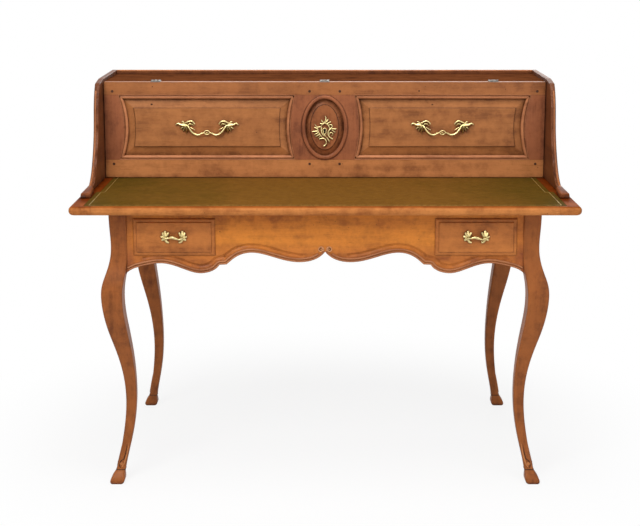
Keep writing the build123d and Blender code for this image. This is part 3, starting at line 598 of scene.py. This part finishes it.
for side in (-1, 1):
    turn_strands.append([(side * p.x, bead_y, p.y, volute_bead_radius) for p in volute_turns[::-1]])
    lead_in = (volute_turns[0], lower_bead[0])
    for line, radius in (
        (lower_bead, lower_radius),
        (upper_bead, upper_radius),
        (lead_in, volute_bead_radius),
    ):
        strands.append([(side * p.x, bead_y, p.y, radius) for p in line])
    eye_x, eye_z = side * volute_middle.x, volute_middle.y
    eye_root = (eye_x, apron_front_y + eye_sink, eye_z, eye_radius)
    eye_tip = (eye_x, apron_front_y - eye_proud, eye_z, eye_tip_radius)
    turn_strands.append([eye_root, eye_tip])
    # A near-black strand of painted shade fills the gap between each volute's turn and its eye.
    shade_ring_y = apron_front_y + shade_ring_sink
    volute_shade_strands.append([(side * p.x, shade_ring_y, p.y, shade_ring_radius) for p in volute_shade_ring[:shade_ring_steps]])
add_piece("apron_beads", [rounded_lines("beads", strands)], "desk", worn_lit_bead_wood)
worn_lit_volute_wood = walnut_finish(
    "walnut_volutes_worn_and_highlit", "X", (0.68, 0.33, 0.150), (0.50, 0.21, 0.085), 24, worm=0.0, dirt_and_shade_reach=0.0015
)
add_piece("volute_turns", [rounded_lines("turns", turn_strands)], "desk", worn_lit_volute_wood)
add_piece("volute_shade_rings", [rounded_lines("hollows", volute_shade_strands)], "desk", shade_and_dirt_wood)


# ---- Drawers: lip-moulded walnut fronts on plain boxes that run in grooved guides ----
# Each front carries a small cast brass pull: two vine leaves and a short bail that turns
# on a pivot in each leaf's post.
drawer_wood = walnut_finish("walnut_drawers", "X", (0.445, 0.152, 0.036), (0.245, 0.075, 0.019), 4, worm=0.2)
plain_wood = walnut_finish("plain_boards", "Y", (0.34, 0.18, 0.085), (0.20, 0.10, 0.045), 5, worm=0.3)
plain_cross_wood = walnut_finish("plain_cross_boards", "X", (0.34, 0.18, 0.085), (0.20, 0.10, 0.045), 6)
for side in ("left", "right"):
    dress([f"drawer_{side}_front"], drawer_wood, 0.7)
    dress(
        [f"drawer_{side}_sides", f"drawer_{side}_inner_guide", f"drawer_{side}_outer_guide"],
        plain_wood,
        0.4,
    )
    dress([f"drawer_{side}_back", f"drawer_{side}_bottom"], plain_cross_wood, 0.4)


def cast_brass():
    """Old gilt brass: pale gold on the high parts, brown in the hollows as patina and painted shade, cast
    skin.
    """
    finish, tree, shader = new_finish("cast_brass")
    place = own_place(tree)
    skin = noise(tree, place, 520.0, 4.0)
    patches = noise(tree, place, 90.0, 3.0)
    # The colour darkens where nearby surfaces close in: patina in the hollows, and painted shade there too.
    hollow = joined(tree, "ShaderNodeAmbientOcclusion", {"Distance": 0.008}, samples=6).outputs["AO"]
    clean_and_lit = sum_of(tree, "MULTIPLY", spread(tree, hollow, 0.30, 1.0), 0.85)
    clean_and_lit = sum_of(tree, "MULTIPLY_ADD", patches, 0.25, clean_and_lit)
    stops = [
        (0.0, (0.060, 0.040, 0.010, 1.0)),
        (0.50, (0.33, 0.245, 0.080, 1.0)),
        (0.95, (0.70, 0.57, 0.27, 1.0)),
    ]
    inputs = {
        "Base Color": ramped(tree, clean_and_lit, stops),
        "Metallic": 1.0,
        "Roughness": sum_of(tree, "MULTIPLY_ADD", patches, 0.22, 0.20),
        "Normal": bumped(tree, skin, 0.25, 0.0004),
    }
    wired(tree, shader, inputs)
    return finish


brass = cast_brass()


def casting(name, strands, middle, ground_y, mirrored=False, closed=False):
    """Brass strands laid on a face: rows of (across, up, lift off the face, radius)."""
    side = -1 if mirrored else 1
    rows = [
        [(middle[0] + side * x, ground_y - lift, middle[1] + z, radius) for x, z, lift, radius in strand]
        for strand in strands
    ]
    return rounded_lines(name, rows, closed)


drawer_pull_x, drawer_pull_z = 383, 657
drawer_field_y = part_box("drawer_left_front")[0].y / mm
vine_leaf = [
    [(19, 1, 0.8, 5.0), (20.6, 6, 0.8, 6.0), (21.4, 10.5, 0.8, 5.0)],
    [(22, -3, 0.8, 4.6), (25.2, 3, 0.8, 6.0), (24.6, 8, 0.8, 5.0)],
    [(20, -3, 2.5, 4.8), (21, 5, 3.0, 5.4), (21.5, 12, 2.6, 4.6), (21.8, 17.4, 2.0, 3.2)],
    [(19, 3, 2.5, 4.2), (16, 8.5, 2.4, 4.0), (13.8, 13.4, 1.6, 2.9)],
    [(23, 2, 2.5, 4.8), (26.2, 8.5, 2.6, 4.4), (27.6, 13, 1.8, 3.1)],
    [(24, 0, 2.5, 4.8), (29, 2, 2.6, 4.2), (32.6, 3.4, 1.8, 3.0)],
    [(23, -2, 2.5, 4.6), (27, -4.5, 2.4, 3.9), (30.4, -6.4, 1.6, 2.8)],
    [(21, -4, 2.5, 4.2), (20, -8.6, 2.6, 3.8), (16.4, -11.8, 2.4, 3.2), (12.6, -12.2, 2.0, 2.6)],
    [(19, -1, 6.4, 1.3), (21, 8, 7.4, 1.2), (21.6, 17, 5.0, 0.9)],
    [(22, 0, 6.4, 1.2), (28, 2.2, 6.4, 1.1), (32.4, 3.4, 4.4, 0.8)],
    [(20, 4, 6.6, 1.0), (16.4, 8.6, 5.8, 0.9), (14.2, 12.6, 4.2, 0.7)],
    [(22.4, 4, 6.8, 1.0), (26, 9, 6.2, 0.9), (27.4, 12.6, 4.4, 0.7)],
    [(21, 0, 2.0, 3.0), (21.6, 0, 5.0, 3.0), (22, 0, 9.5, 2.8), (22, 0, 11.5, 1.8)],
]
short_bail = [
    [
        (-22, 0, 9.5, 2.3),
        (-17, -0.4, 9.5, 2.2),
        (-11.5, 0.4, 9.5, 2.4),
        (-6, 2.2, 9.8, 3.8),
        (0, 1.8, 10, 4.6),
        (5.5, -0.4, 9.8, 3.8),
        (9.5, -2.2, 9.5, 2.4),
        (14, -3.8, 9.5, 2.3),
        (19, -2.4, 9.5, 2.3),
        (22, 0, 9.5, 2.3),
    ],
    [(-12.9, 0.2, 9.5, 1.8), (-11.6, 0.4, 9.5, 3.3), (-10.3, 0.7, 9.5, 1.8)],
    [(8.4, -1.7, 9.5, 1.8), (9.6, -2.3, 9.5, 3.3), (10.8, -2.9, 9.5, 1.8)],
]
for side, direction in (("left", -1), ("right", 1)):
    middle = (direction * drawer_pull_x, drawer_pull_z)
    drawer = f"drawer_{side}"
    leaves = [casting("leaf", vine_leaf, middle, drawer_field_y, mirrored) for mirrored in (False, True)]
    add_piece(f"{drawer}_pull_leaves", leaves, drawer, brass, [f"{drawer}_pull_plates"])
    handle = casting("bail", short_bail, middle, drawer_field_y)
    add_piece(f"{drawer}_pull_handle", [handle], f"{drawer}_pull", brass, [f"{drawer}_bail"])


# ---- Top: a framed walnut slab with a rounded nose and a leather writing surface ----
# The rails meet the end boards in plain butt joints that show at the nose. The leather is
# olive, rubbed brown where the writer's arms lay, with a gilt line tooled near its edge.
def unwaxed(finish, sheen):
    """Leave a finish with no coat of wax, and with only this much sheen."""
    inputs = {"Specular IOR Level": sheen, "Coat Weight": 0.0}
    wired(finish.node_tree, finish.node_tree.nodes["Principled BSDF"], inputs)


top_wood = walnut_finish("walnut_top_rails", "X", (0.50, 0.19, 0.055), (0.29, 0.095, 0.028), 7, worm=0.7)
end_wood = walnut_finish("walnut_end_boards", "Y", (0.46, 0.165, 0.045), (0.25, 0.08, 0.024), 8, worm=0.5)
for wood in (top_wood, end_wood):
    darkened(wood, "Z", 740.5, 744.6, (0.62, 0.44, 0.28))
    unwaxed(wood, 0.01)
# Painted shade: the end boards' tops darken from their front corners back towards the side boards' toes.
darkened(end_wood, "Y", -325, -235, (0.52, 0.38, 0.24))
dress(["top_front_rail", "top_back_rail"], top_wood, 1.6)
dress(["top_left_end", "top_right_end"], end_wood, 1.6)
dress(["top_panel"], plain_cross_wood, 0.3)


def writing_leather():
    """Olive leather with a fine grain, rubbed brown in the middle, scuffed and stained."""
    finish, tree, shader = new_finish("writing_leather")
    place = own_place(tree)
    across = joined(tree, "ShaderNodeSeparateXYZ", {"Vector": place}).outputs["X"]
    pattern = {"Vector": place, "Scale": 900.0}
    cells = joined(tree, "ShaderNodeTexVoronoi", pattern, feature="DISTANCE_TO_EDGE")
    grain = spread(tree, cells.outputs["Distance"], 0.0, 0.25)
    clouds = noise(tree, place, 5.0, 6.0, 0.62)
    fine = noise(tree, place, 60.0, 6.0, 0.7)
    outward = sum_of(tree, "ABSOLUTE", across)
    green = sum_of(tree, "MULTIPLY_ADD", outward, 2.1, sum_of(tree, "MULTIPLY_ADD", clouds, 1.3, -1.15))
    green = joined(tree, "ShaderNodeClamp", {"Value": green}).outputs[0]
    hue = tinted(tree, "MIX", green, (0.165, 0.072, 0.012, 1.0), (0.070, 0.044, 0.005, 1.0))
    scuff = spread(tree, fine, 0.35, 0.75, 0.78, 1.2)
    shade = joined(tree, "ShaderNodeVectorMath", {0: hue, "Scale": scuff}, operation="SCALE")
    height = sum_of(tree, "MULTIPLY_ADD", grain, 0.6, sum_of(tree, "MULTIPLY", fine, 0.6))
    inputs = {
        "Base Color": shade.outputs[0],
        "Roughness": sum_of(tree, "MULTIPLY_ADD", clouds, 0.25, 0.40),
        "Normal": bumped(tree, height, 0.35, 0.0006),
        "Specular IOR Level": 0.01,
    }
    wired(tree, shader, inputs)
    return finish


leather = writing_leather()
dress(["leather_writing_surface"], leather, 0.4)

gilt, tree, shader = new_finish("gilt_line")
rubbed = noise(tree, own_place(tree), 140.0, 5.0)
left_gold = spread(tree, rubbed, 0.44, 0.56)
inputs = {
    "Base Color": tinted(tree, "MIX", left_gold, (0.16, 0.095, 0.02, 1.0), (0.62, 0.42, 0.13, 1.0)),
    "Metallic": sum_of(tree, "MULTIPLY", left_gold, 0.8),
    "Roughness": sum_of(tree, "MULTIPLY_ADD", rubbed, 0.3, 0.3),
}
wired(tree, shader, inputs)


def inset_outline(points, margin):
    """An anticlockwise outline moved inwards by a margin, mitred at its corners."""
    moved = []
    for before, here, after in zip(points[-1:] + points[:-1], points, points[1:] + points[:1]):
        first, second = (here - before).normalized(), (after - here).normalized()
        inward = Vector((-first.y - second.y, first.x + second.x))
        moved.append(here + inward * margin / (1 + first.dot(second)))
    return moved


leather_low, leather_high = (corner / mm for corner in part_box("leather_writing_surface"))
line_inset, line_width, line_proud = 12, 1.6, 0.12
step_y, narrow_half = -129.5, 593.7
outline = [
    Vector((leather_low.x + line_inset, leather_low.y + line_inset)),
    Vector((leather_high.x - line_inset, leather_low.y + line_inset)),
    Vector((leather_high.x - line_inset, step_y - line_inset)),
    Vector((narrow_half - line_inset, step_y - line_inset / 2)),
    Vector((narrow_half - line_inset, leather_high.y - line_inset)),
    Vector((-narrow_half + line_inset, leather_high.y - line_inset)),
    Vector((-narrow_half + line_inset, step_y - line_inset / 2)),
    Vector((leather_low.x + line_inset, step_y - line_inset)),
]
inner_outline = inset_outline(outline, line_width)
top_z, bottom_z = leather_high.z + line_proud, leather_high.z - line_proud
loops = ((outline, top_z), (inner_outline, top_z), (inner_outline, bottom_z), (outline, bottom_z))
corners = [(point.x * mm, point.y * mm, z * mm) for loop, z in loops for point in loop]
faces = []
for loop in range(len(loops)):
    near, far = loop * len(outline), (loop + 1) % len(loops) * len(outline)
    for point in range(len(outline)):
        after = (point + 1) % len(outline)
        faces.append((near + point, near + after, far + after, far + point))
tooled_mesh = bpy.data.meshes.new("gilt_line")
tooled_mesh.from_pydata(corners, [], faces)
add_piece("leather_gilt_line", [tooled_mesh], "desk", gilt)


# ---- Superstructure: two scrolled side boards and a shallow case between them ----
# Each side board is coloured dark as painted shade and carries a round bead on its front edge,
# coloured lighter as a painted highlight, and the bead runs on over a worn toe. Inside are plain
# boards: two partitions and a shelf, seen when the flap is up.
# The side boards are coloured far darker than the walnut elsewhere, as painted shade, and take a wide reach
# of dirt and painted shade in their corners.
shaded_side_wood = walnut_finish(
    "walnut_side_boards_painted_shade", "Y", (0.150, 0.046, 0.014), (0.075, 0.021, 0.007), 9, dirt_and_shade_reach=0.030
)
dress(["side_board_left", "side_board_right"], shaded_side_wood, 3.0)
crest_wood = walnut_finish("walnut_crest", "X", (0.40, 0.14, 0.042), (0.23, 0.074, 0.024), 10)
crest_top_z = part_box("gallery_back_rim")[1].z / mm
# Painted shade: the crest darkens below its top edge, over its front face.
darkened(crest_wood, "Z", crest_top_z - 2, crest_top_z - 4, (0.45, 0.38, 0.34))
dress(["gallery_back_rim"], crest_wood, 0.7)
# The case top is coloured very dark as painted shade.
shaded_case_top_wood = walnut_finish(
    "walnut_case_top_painted_shade", "X", (0.15, 0.047, 0.016), (0.075, 0.023, 0.009), 18, worm=0.1
)
unwaxed(shaded_case_top_wood, 0.0)
dress(["case_top_board"], shaded_case_top_wood, 0.5)
dress(["case_back_board", "case_bottom_board", "case_shelf"], plain_cross_wood, 0.5)
# The bead is much lighter than its board, as a painted highlight along the rounded edge.
lit_side_bead_wood = walnut_finish(
    "walnut_side_beads_painted_highlight", "Z", (0.40, 0.145, 0.050), (0.22, 0.072, 0.026), 23, worm=0.2, dirt_and_shade_reach=0.005
)
toe_wood = walnut_finish("walnut_side_toes", "Y", (0.23, 0.072, 0.026), (0.13, 0.038, 0.015), 25, worm=0.1)
unwaxed(toe_wood, 0.03)
bead_reach = [(97, 755.0), (111, 755.3), (125, 756.4)]
bead_heights = range(764, 1004, 8)
bead_inset, bead_depth, bead_radius = 2.5, 2.4, 3.2
toe_length, toe_rear_width, toe_front_width = 94, 19, 26
toe_side_inset, toe_front_inset, toe_sink, toe_height, toe_round = 0.4, 0.8, 0.3, 13.6, 3.6
for side, mirror_x in (("left", 1), ("right", -1)):
    board_low, board_high = (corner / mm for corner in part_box(f"side_board_{side}"))
    bead_x = (board_low.x + board_high.x) / 2 - mirror_x * bead_inset
    bead = [(bead_x, board_low.y + reach, height, bead_radius) for reach, height in bead_reach]
    for height in bead_heights:
        x_low, x_high, y_low, y_high = section_of(f"side_board_{side}", height)
        bead.append((bead_x, y_low + bead_depth, height, bead_radius))
    add_piece(f"side_bead_{side}", [rounded_lines("bead", [bead])], "desk", lit_side_bead_wood)
    outer_x = board_low.x if mirror_x > 0 else board_high.x
    toe = bmesh.new()
    bmesh.ops.create_cube(toe, size=1.0)
    for corner in toe.verts:
        at_front = corner.co.y < 0
        width = toe_front_width if at_front else toe_rear_width
        across = toe_side_inset if corner.co.x * mirror_x < 0 else width
        corner.co.x = (outer_x + mirror_x * across) * mm
        corner.co.y = (board_low.y + (toe_front_inset if at_front else toe_length)) * mm
        corner.co.z = (board_low.z + (toe_height if corner.co.z > 0 else -toe_sink)) * mm
    bmesh.ops.bevel(
        toe, geom=toe.edges[:], offset=toe_round * mm, segments=4, profile=0.5, affect="EDGES", material=-1
    )
    toe_mesh = bpy.data.meshes.new("toe")
    toe.to_mesh(toe_mesh)
    toe.free()
    add_piece(f"side_toe_{side}", [toe_mesh], "desk", toe_wood)
upright_wood = walnut_finish("plain_uprights", "Z", (0.34, 0.18, 0.085), (0.20, 0.10, 0.045), 11)
dress(["case_partition_left", "case_partition_right"], upright_wood, 0.5)


# ---- Flap: a framed and panelled front that lifts on three hinges ----
# Bowed stiles and a wide centre block are tenoned between full-width rails and pegged.
# Mouldings run round the fielded panels and the oval, near-black strands of painted shade lie
# along their fields' edges, and there are four old nail marks.
top_rail_wood = walnut_finish(
    "walnut_flap_top_rail", "X", (0.34, 0.124, 0.040), (0.19, 0.062, 0.021), 24, worm=0.4
)
rail_wood = walnut_finish("walnut_flap_rail", "X", (0.46, 0.178, 0.058), (0.26, 0.092, 0.031), 12, worm=0.6)
stile_wood = walnut_finish("walnut_flap_stiles", "Z", (0.30, 0.10, 0.040), (0.165, 0.05, 0.022), 13, worm=0.3)
panel_wood = walnut_finish(
    "walnut_flap_panels", "X", (0.39, 0.150, 0.048), (0.215, 0.075, 0.025), 14, worm=0.3
)
oval_wood = walnut_finish("walnut_oval_panel", "Z", (0.31, 0.105, 0.036), (0.17, 0.052, 0.019), 15, worm=0.1)
dress(["flap_top_rail"], top_rail_wood, 0.6)
dress(["flap_bottom_rail"], rail_wood, 0.6)
dress(["flap_stile_left", "flap_stile_right", "flap_centre_block"], stile_wood, 0.6)
dress(["flap_panel_left", "flap_panel_right"], panel_wood, 0.6)
dress(["flap_oval_panel"], oval_wood, 0.5)
dress(["flap_oval_moulding"], stile_wood, 0)

flap_front_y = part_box("flap_top_rail")[0].y / mm
sight_low, sight_high = 809, 967
sight_middle = (sight_low + sight_high) / 2
stile_end_x, stile_bow_x = 562, 547
block_end_x, block_bow_x = 94, 107


def bowed_end(end_x, bow_x, half_height, steps=14):
    """One end of an opening, bowed inwards, from bottom to top."""
    bow = bow_x - end_x
    reach = (half_height**2 + bow**2) / (2 * abs(bow))
    sign = 1 if bow > 0 else -1
    points = []
    for step in range(steps + 1):
        z = -half_height + 2 * half_height * step / steps
        points.append((bow_x - sign * (reach - math.sqrt(reach**2 - z**2)), sight_middle + z))
    return points


def opening_line(grow):
    """The outline of the right opening, grown by a margin, as (x, z) points."""
    half = (sight_high - sight_low) / 2 + grow
    outer = bowed_end(stile_end_x + grow, stile_bow_x + grow, half)
    inner = bowed_end(block_end_x - grow, block_bow_x - grow, half)
    return outer, inner


def moulding(grow, depth, radius):
    """Four strands of a round moulding about an opening, mitred at the corners."""
    outer, inner = opening_line(grow)
    level = flap_front_y + depth
    sides = [outer, inner, [outer[0], inner[0]], [outer[-1], inner[-1]]]
    return [[(x, level, z, radius) for x, z in line] for line in sides]


moulding_wood = walnut_finish(
    "walnut_mouldings", "X", (0.46, 0.18, 0.075), (0.27, 0.095, 0.038), 19, worm=0.1, dirt_and_shade_reach=0.006
)
ovolo_grow, ovolo_radius = 5.4, 5.2
fillet_grow, fillet_depth, fillet_radius = 11.4, 0.5, 1.1
ovolo = moulding(ovolo_grow, ovolo_radius, ovolo_radius)
ovolo += moulding(fillet_grow, fillet_depth, fillet_radius)
for side, mirror_x in (("left", -1), ("right", 1)):
    mesh = rounded_lines("ovolo", ovolo)
    mesh.transform(Matrix.Diagonal((mirror_x, 1, 1, 1)))
    add_piece(f"flap_moulding_{side}", [mesh], "flap", moulding_wood)

field_end_inset, field_bow_inset, field_rail_inset = 30, 20, 25
field_half = (sight_high - sight_low) / 2 - field_rail_inset
field_depth = 5.5
field_outer = bowed_end(stile_end_x - field_end_inset, stile_bow_x - field_bow_inset, field_half)
field_inner = bowed_end(block_end_x + field_end_inset, block_bow_x + field_bow_inset, field_half)
field_sides = [
    (field_outer, 1.1),
    (field_inner, 0.8),
    ([field_outer[0], field_inner[0]], 1.1),
    ([field_outer[-1], field_inner[-1]], 0.6),
]
# Near-black strands of painted shade lie along each field's edges, thickest at the bottom and the outer end.
for side, mirror_x in (("left", -1), ("right", 1)):
    level = flap_front_y + field_depth
    lines = [[(mirror_x * x, level, z, radius) for x, z in line] for line, radius in field_sides]
    add_piece(f"field_edge_shade_{side}", [rounded_lines("dirt_and_shade", lines)], "flap", shade_and_dirt_wood)

oval_half_width, oval_half_height = 54, 80


def oval_strand(half_width, half_height, depth, radius, steps=48):
    """A round strand along an ellipse about the middle of the oval opening."""
    row = []
    for step in range(steps):
        angle = 2 * math.pi * step / steps
        x = half_width * math.cos(angle)
        z = sight_middle + half_height * math.sin(angle)
        row.append((x, flap_front_y + depth, z, radius))
    return row


oval_beads = []
for grow, depth, radius in ((1.4, -1.6, 1.5), (11.4, -0.2, 1.2)):
    oval_beads.append(oval_strand(oval_half_width + grow, oval_half_height + grow, depth, radius))
oval_bead_mesh = rounded_lines("oval_beads", oval_beads, closed=True)
add_piece("flap_oval_beads", [oval_bead_mesh], "flap", stile_wood)
# A near-black ring of painted shade lies round the oval field's edge.
oval_field_half_width, oval_field_half_height, oval_shade_radius = 39.4, 63.4, 1.0
oval_shade_line = oval_strand(oval_field_half_width, oval_field_half_height, field_depth, oval_shade_radius)
oval_shade_mesh = rounded_lines("oval_shade_line", [oval_shade_line], closed=True)
add_piece("flap_oval_shade_line", [oval_shade_mesh], "flap", shade_and_dirt_wood)

bevel_y = flap_front_y + 7.4
mark_sink, mark_proud = 2, 0.12
old_marks = [
    (-482, bevel_y, 951, 3.0),
    (300, bevel_y, 950, 2.8),
    (-478, flap_front_y, 1002, 1.4),
    (262, flap_front_y, 990, 2.2),
]
marks = [[(x, y + mark_sink, z, radius), (x, y - mark_proud, z, radius)] for x, y, z, radius in old_marks]
add_piece("flap_nail_marks", [rounded_lines("marks", marks)], "flap", shade_and_dirt_wood)
peg_wood = walnut_finish("peg_ends", "Y", (0.085, 0.035, 0.018), (0.04, 0.016, 0.009), 16, worm=0.0)
dress(["flap_pegs"], peg_wood, 0.3)


# ---- Flap furniture: two cast brass handles, an openwork escutcheon and its lock ----
# Each handle hangs from acanthus leaves and scrolls, with a small oval in its middle. The
# lock, its bolt and the hinges are dull iron.
handle_x, handle_z = 328, 888
panel_face_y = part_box("flap_panel_left")[0].y / mm
acanthus = [
    [(52, 4, 3, 4.4), (60, 6, 4, 5.0), (68, 6, 4, 4.6), (75, 8, 3.6, 3.4), (80, 11.5, 3.6, 2.8),
     (85, 10, 3.4, 2.4), (87, 6.8, 3, 1.8)],
    [(60, 9, 3, 2.6), (65, 14, 3.4, 2.2), (68, 17, 3.4, 1.8), (70.5, 15.5, 3.2, 1.3)],
    [(70, 10, 3.4, 2.2), (62, 11, 5, 2.6), (56, 14, 6, 2.8), (50.5, 17.4, 6.6, 2.9),
     (43.5, 18.4, 6.8, 2.8), (37.5, 15.4, 6.6, 2.6), (34, 9.6, 6, 2.2)],
    [(51, 9, 4, 3.0), (45, 11.4, 4.6, 2.6), (40.5, 8.4, 4.2, 2.2), (38, 4.6, 3.4, 1.4)],
    [(62, 4, 3, 4.2), (68, 0, 3.2, 3.8), (73, -3.6, 2.2, 2.0)],
    [(59, 3, 3, 4.0), (63, -4, 3.4, 3.4), (66.5, -10.6, 2.2, 1.7)],
    [(56, 2, 3, 3.8), (57.5, -6, 3.6, 3.2), (58, -12, 2.8, 2.2), (57, -16.6, 2, 1.2)],
    [(53, 2, 3, 3.4), (53, -5, 3.2, 2.8), (52.5, -10, 2.2, 1.4)],
    [(66, 7, 8.0, 1.0), (58, 4, 8.6, 1.2), (57.6, -4, 7.2, 1.0), (57.4, -12, 4.8, 0.7)],
    [(58, 4, 8.0, 1.0), (64, -2, 6.6, 0.9), (67, -7, 4.6, 0.7)],
    [(55, 6, 3, 3.4), (52, 3, 6, 3.2), (50, 0, 9.5, 3.0), (49.6, -0.4, 11, 1.8)],
]
handle_half = [
    [(50, 0, 9.5, 2.8), (47.4, -4.4, 9.8, 3.0), (43.6, -10, 10, 3.3), (37.6, -16.4, 10, 3.4),
     (29.4, -20.4, 10, 3.3), (21.6, -20.2, 10, 2.9), (16.4, -17.2, 10, 2.2), (14.2, -13.2, 10, 1.5)],
    [(46, 1, 9, 1.4), (41, -2, 9.4, 1.8), (36, -4.6, 9.4, 1.5), (33, -6.4, 9.2, 0.7)],
    [(18.6, -18.4, 10, 2.3), (14, -16.4, 10, 1.9), (10.5, -14.2, 10, 1.7), (8.2, -13.4, 10, 1.7)],
]
ring_half_width, ring_half_height, ring_drop, ring_steps = 7.4, 5.4, 13.4, 20
handle_ring = []
for step in range(ring_steps):
    angle = 2 * math.pi * step / ring_steps
    across, up = ring_half_width * math.cos(angle), ring_half_height * math.sin(angle)
    handle_ring.append((across, up - ring_drop, 10.4, 1.7))
jewel = [[(-3.4, -14.2, 9.6, 0.6), (-1.6, -14.4, 9.8, 2.0), (1.6, -14.4, 9.8, 2.0), (3.4, -14.2, 9.6, 0.6)]]
for side, direction in (("left", -1), ("right", 1)):
    middle = (direction * handle_x, handle_z)
    leaves = [casting("leaf", acanthus, middle, panel_face_y, mirrored) for mirrored in (False, True)]
    pull = f"flap_pull_{side}"
    add_piece(f"flap_handle_{side}_leaves", leaves, "flap", brass, [f"{pull}_plates"])
    arms = [casting("arm", handle_half, middle, panel_face_y, mirrored) for mirrored in (False, True)]
    arms.append(casting("ring", [handle_ring], middle, panel_face_y, closed=True))
    arms.append(casting("jewel", jewel, middle, panel_face_y))
    add_piece(f"flap_handle_{side}", arms, pull, brass, [f"{pull}_bail"])

keyhole_z = 880
keyhole_surround = [
    [(0, 5.6, 1.2, 1.7), (3.9, 4.4, 1.2, 1.7), (5.2, 0.5, 1.2, 1.7), (3.6, -4.0, 1.2, 1.7),
     (3.9, -10, 1.2, 1.7), (0, -12.6, 1.2, 1.7), (-3.9, -10, 1.2, 1.7), (-3.6, -4.0, 1.2, 1.7),
     (-5.2, 0.5, 1.2, 1.7), (-3.9, 4.4, 1.2, 1.7)],
]
cartouche = [
    [(-9, 9, 2, 1.6), (-10, 0, 2.4, 2.2), (-7.5, -10, 2.4, 2.2), (-2, -15.5, 2.2, 2.0), (4, -17, 2, 1.6)],
    [(-9, 9, 2, 1.6), (-14, 10, 2.2, 1.8), (-20, 7.5, 2.2, 1.8), (-26, 13.5, 1.8, 1.2),
     (-27.5, 17, 1.4, 0.7)],
    [(-20, 8, 2, 1.6), (-20, 0, 2.4, 2.2), (-16.5, -8.5, 2.4, 2.2), (-8, -18.5, 2, 1.8)],
    [(-18, 2, 1.6, 2.6), (-25, 6, 2, 2.6), (-29, 8, 1.4, 1.0)],
    [(-18, -2, 1.6, 2.8), (-27, -3.5, 2, 2.6), (-34.5, -4, 1.6, 1.7)],
    [(-17, -6, 1.6, 2.8), (-24, -10, 2, 2.6), (-29, -13, 1.4, 1.5)],
    [(-14, -11, 1.6, 2.6), (-20, -15, 2, 2.2), (-25, -18, 1.4, 1.2)],
    [(-11, -15, 1.6, 2.2), (-15, -19, 1.8, 1.8), (-18.5, -21.5, 1.2, 1.0)],
    [(-9, 12, 2, 1.6), (-6, 17.5, 2.4, 2.2), (0, 20.5, 2.6, 2.4), (7, 17.5, 2.4, 2.2),
     (12.5, 9.5, 2, 1.8), (14, 3, 2, 1.6)],
    [(-1, 20, 2, 2.8), (3, 27, 2.2, 2.6), (4, 33, 2, 1.8), (1.6, 40, 1.4, 0.8)],
    [(3, 22, 2, 2.4), (8.5, 27, 2.2, 2.2), (9.5, 31.5, 1.6, 1.4)],
    [(-3, 20, 2, 2.6), (-7, 24.5, 2.2, 2.2), (-8.5, 28.5, 1.6, 1.3)],
    [(-6, 17, 2, 2.4), (-10, 18.5, 2, 2.2), (-13.5, 19.0, 1.4, 1.2)],
    [(7, 18, 2, 2.4), (13, 22, 2, 2.0), (17.5, 24.5, 1.4, 1.2)],
    [(11, 14, 2, 1.6), (15, 16.5, 2.2, 1.8), (20.5, 14.5, 2.2, 1.8), (21, 9, 2.2, 1.8),
     (17.5, 5.5, 2.2, 2.0), (11.5, -1, 2.4, 2.4), (8.8, -9, 2.4, 2.4), (11, -17, 2.2, 2.4),
     (17, -22.5, 2.2, 2.4), (22, -24.5, 2, 2.6)],
    [(18, 5, 2, 2.2), (24, 2.5, 2, 2.0), (32, 3.5, 1.6, 1.8)],
    [(19, 2, 2, 2.0), (25, -3.5, 2, 1.8), (29.5, -5.5, 1.6, 1.4)],
    [(13, -13, 1.8, 1.8), (14, -7.5, 2.2, 1.8), (18.5, -5.5, 2.4, 2.0), (23, -9.5, 2.4, 2.0),
     (22.5, -15, 2.2, 1.8), (19.5, -15.5, 2.0, 1.2)],
    [(-14.5, -25, 2, 2.0), (-9, -22.5, 2.2, 2.2), (-2, -22.5, 2.4, 2.4), (3.5, -28, 2.4, 2.4),
     (5, -36, 2.2, 2.4), (2.5, -42, 2, 2.6), (-2, -44.5, 2, 2.8)],
    [(5, -20, 2, 2.0), (9.5, -25, 2.2, 2.2), (12.6, -31, 2.2, 2.2), (12.5, -37, 1.8, 1.4)],
]
lock_plate = [
    casting("surround", keyhole_surround, (0, keyhole_z), panel_face_y, closed=True),
    casting("cartouche", cartouche, (0, keyhole_z), panel_face_y),
]
add_piece("escutcheon_cartouche", lock_plate, "flap", brass, ["escutcheon"])

iron, tree, shader = new_finish("dull_iron")
rust = noise(tree, own_place(tree), 160.0, 6.0)
inputs = {
    "Base Color": ramped(tree, rust, [(0.35, (0.10, 0.075, 0.055, 1.0)), (0.65, (0.30, 0.29, 0.28, 1.0))]),
    "Metallic": 0.85,
    "Roughness": sum_of(tree, "MULTIPLY_ADD", rust, 0.3, 0.32),
    "Normal": bumped(tree, rust, 0.3, 0.0004),
}
wired(tree, shader, inputs)
dress(["hinge_fixed_leaves", "hinge_flap_leaves", "lock_case", "lock_bolt", "bolt_keeper"], iron, 0.3)
dress(["hinge_pins"], iron, 0)
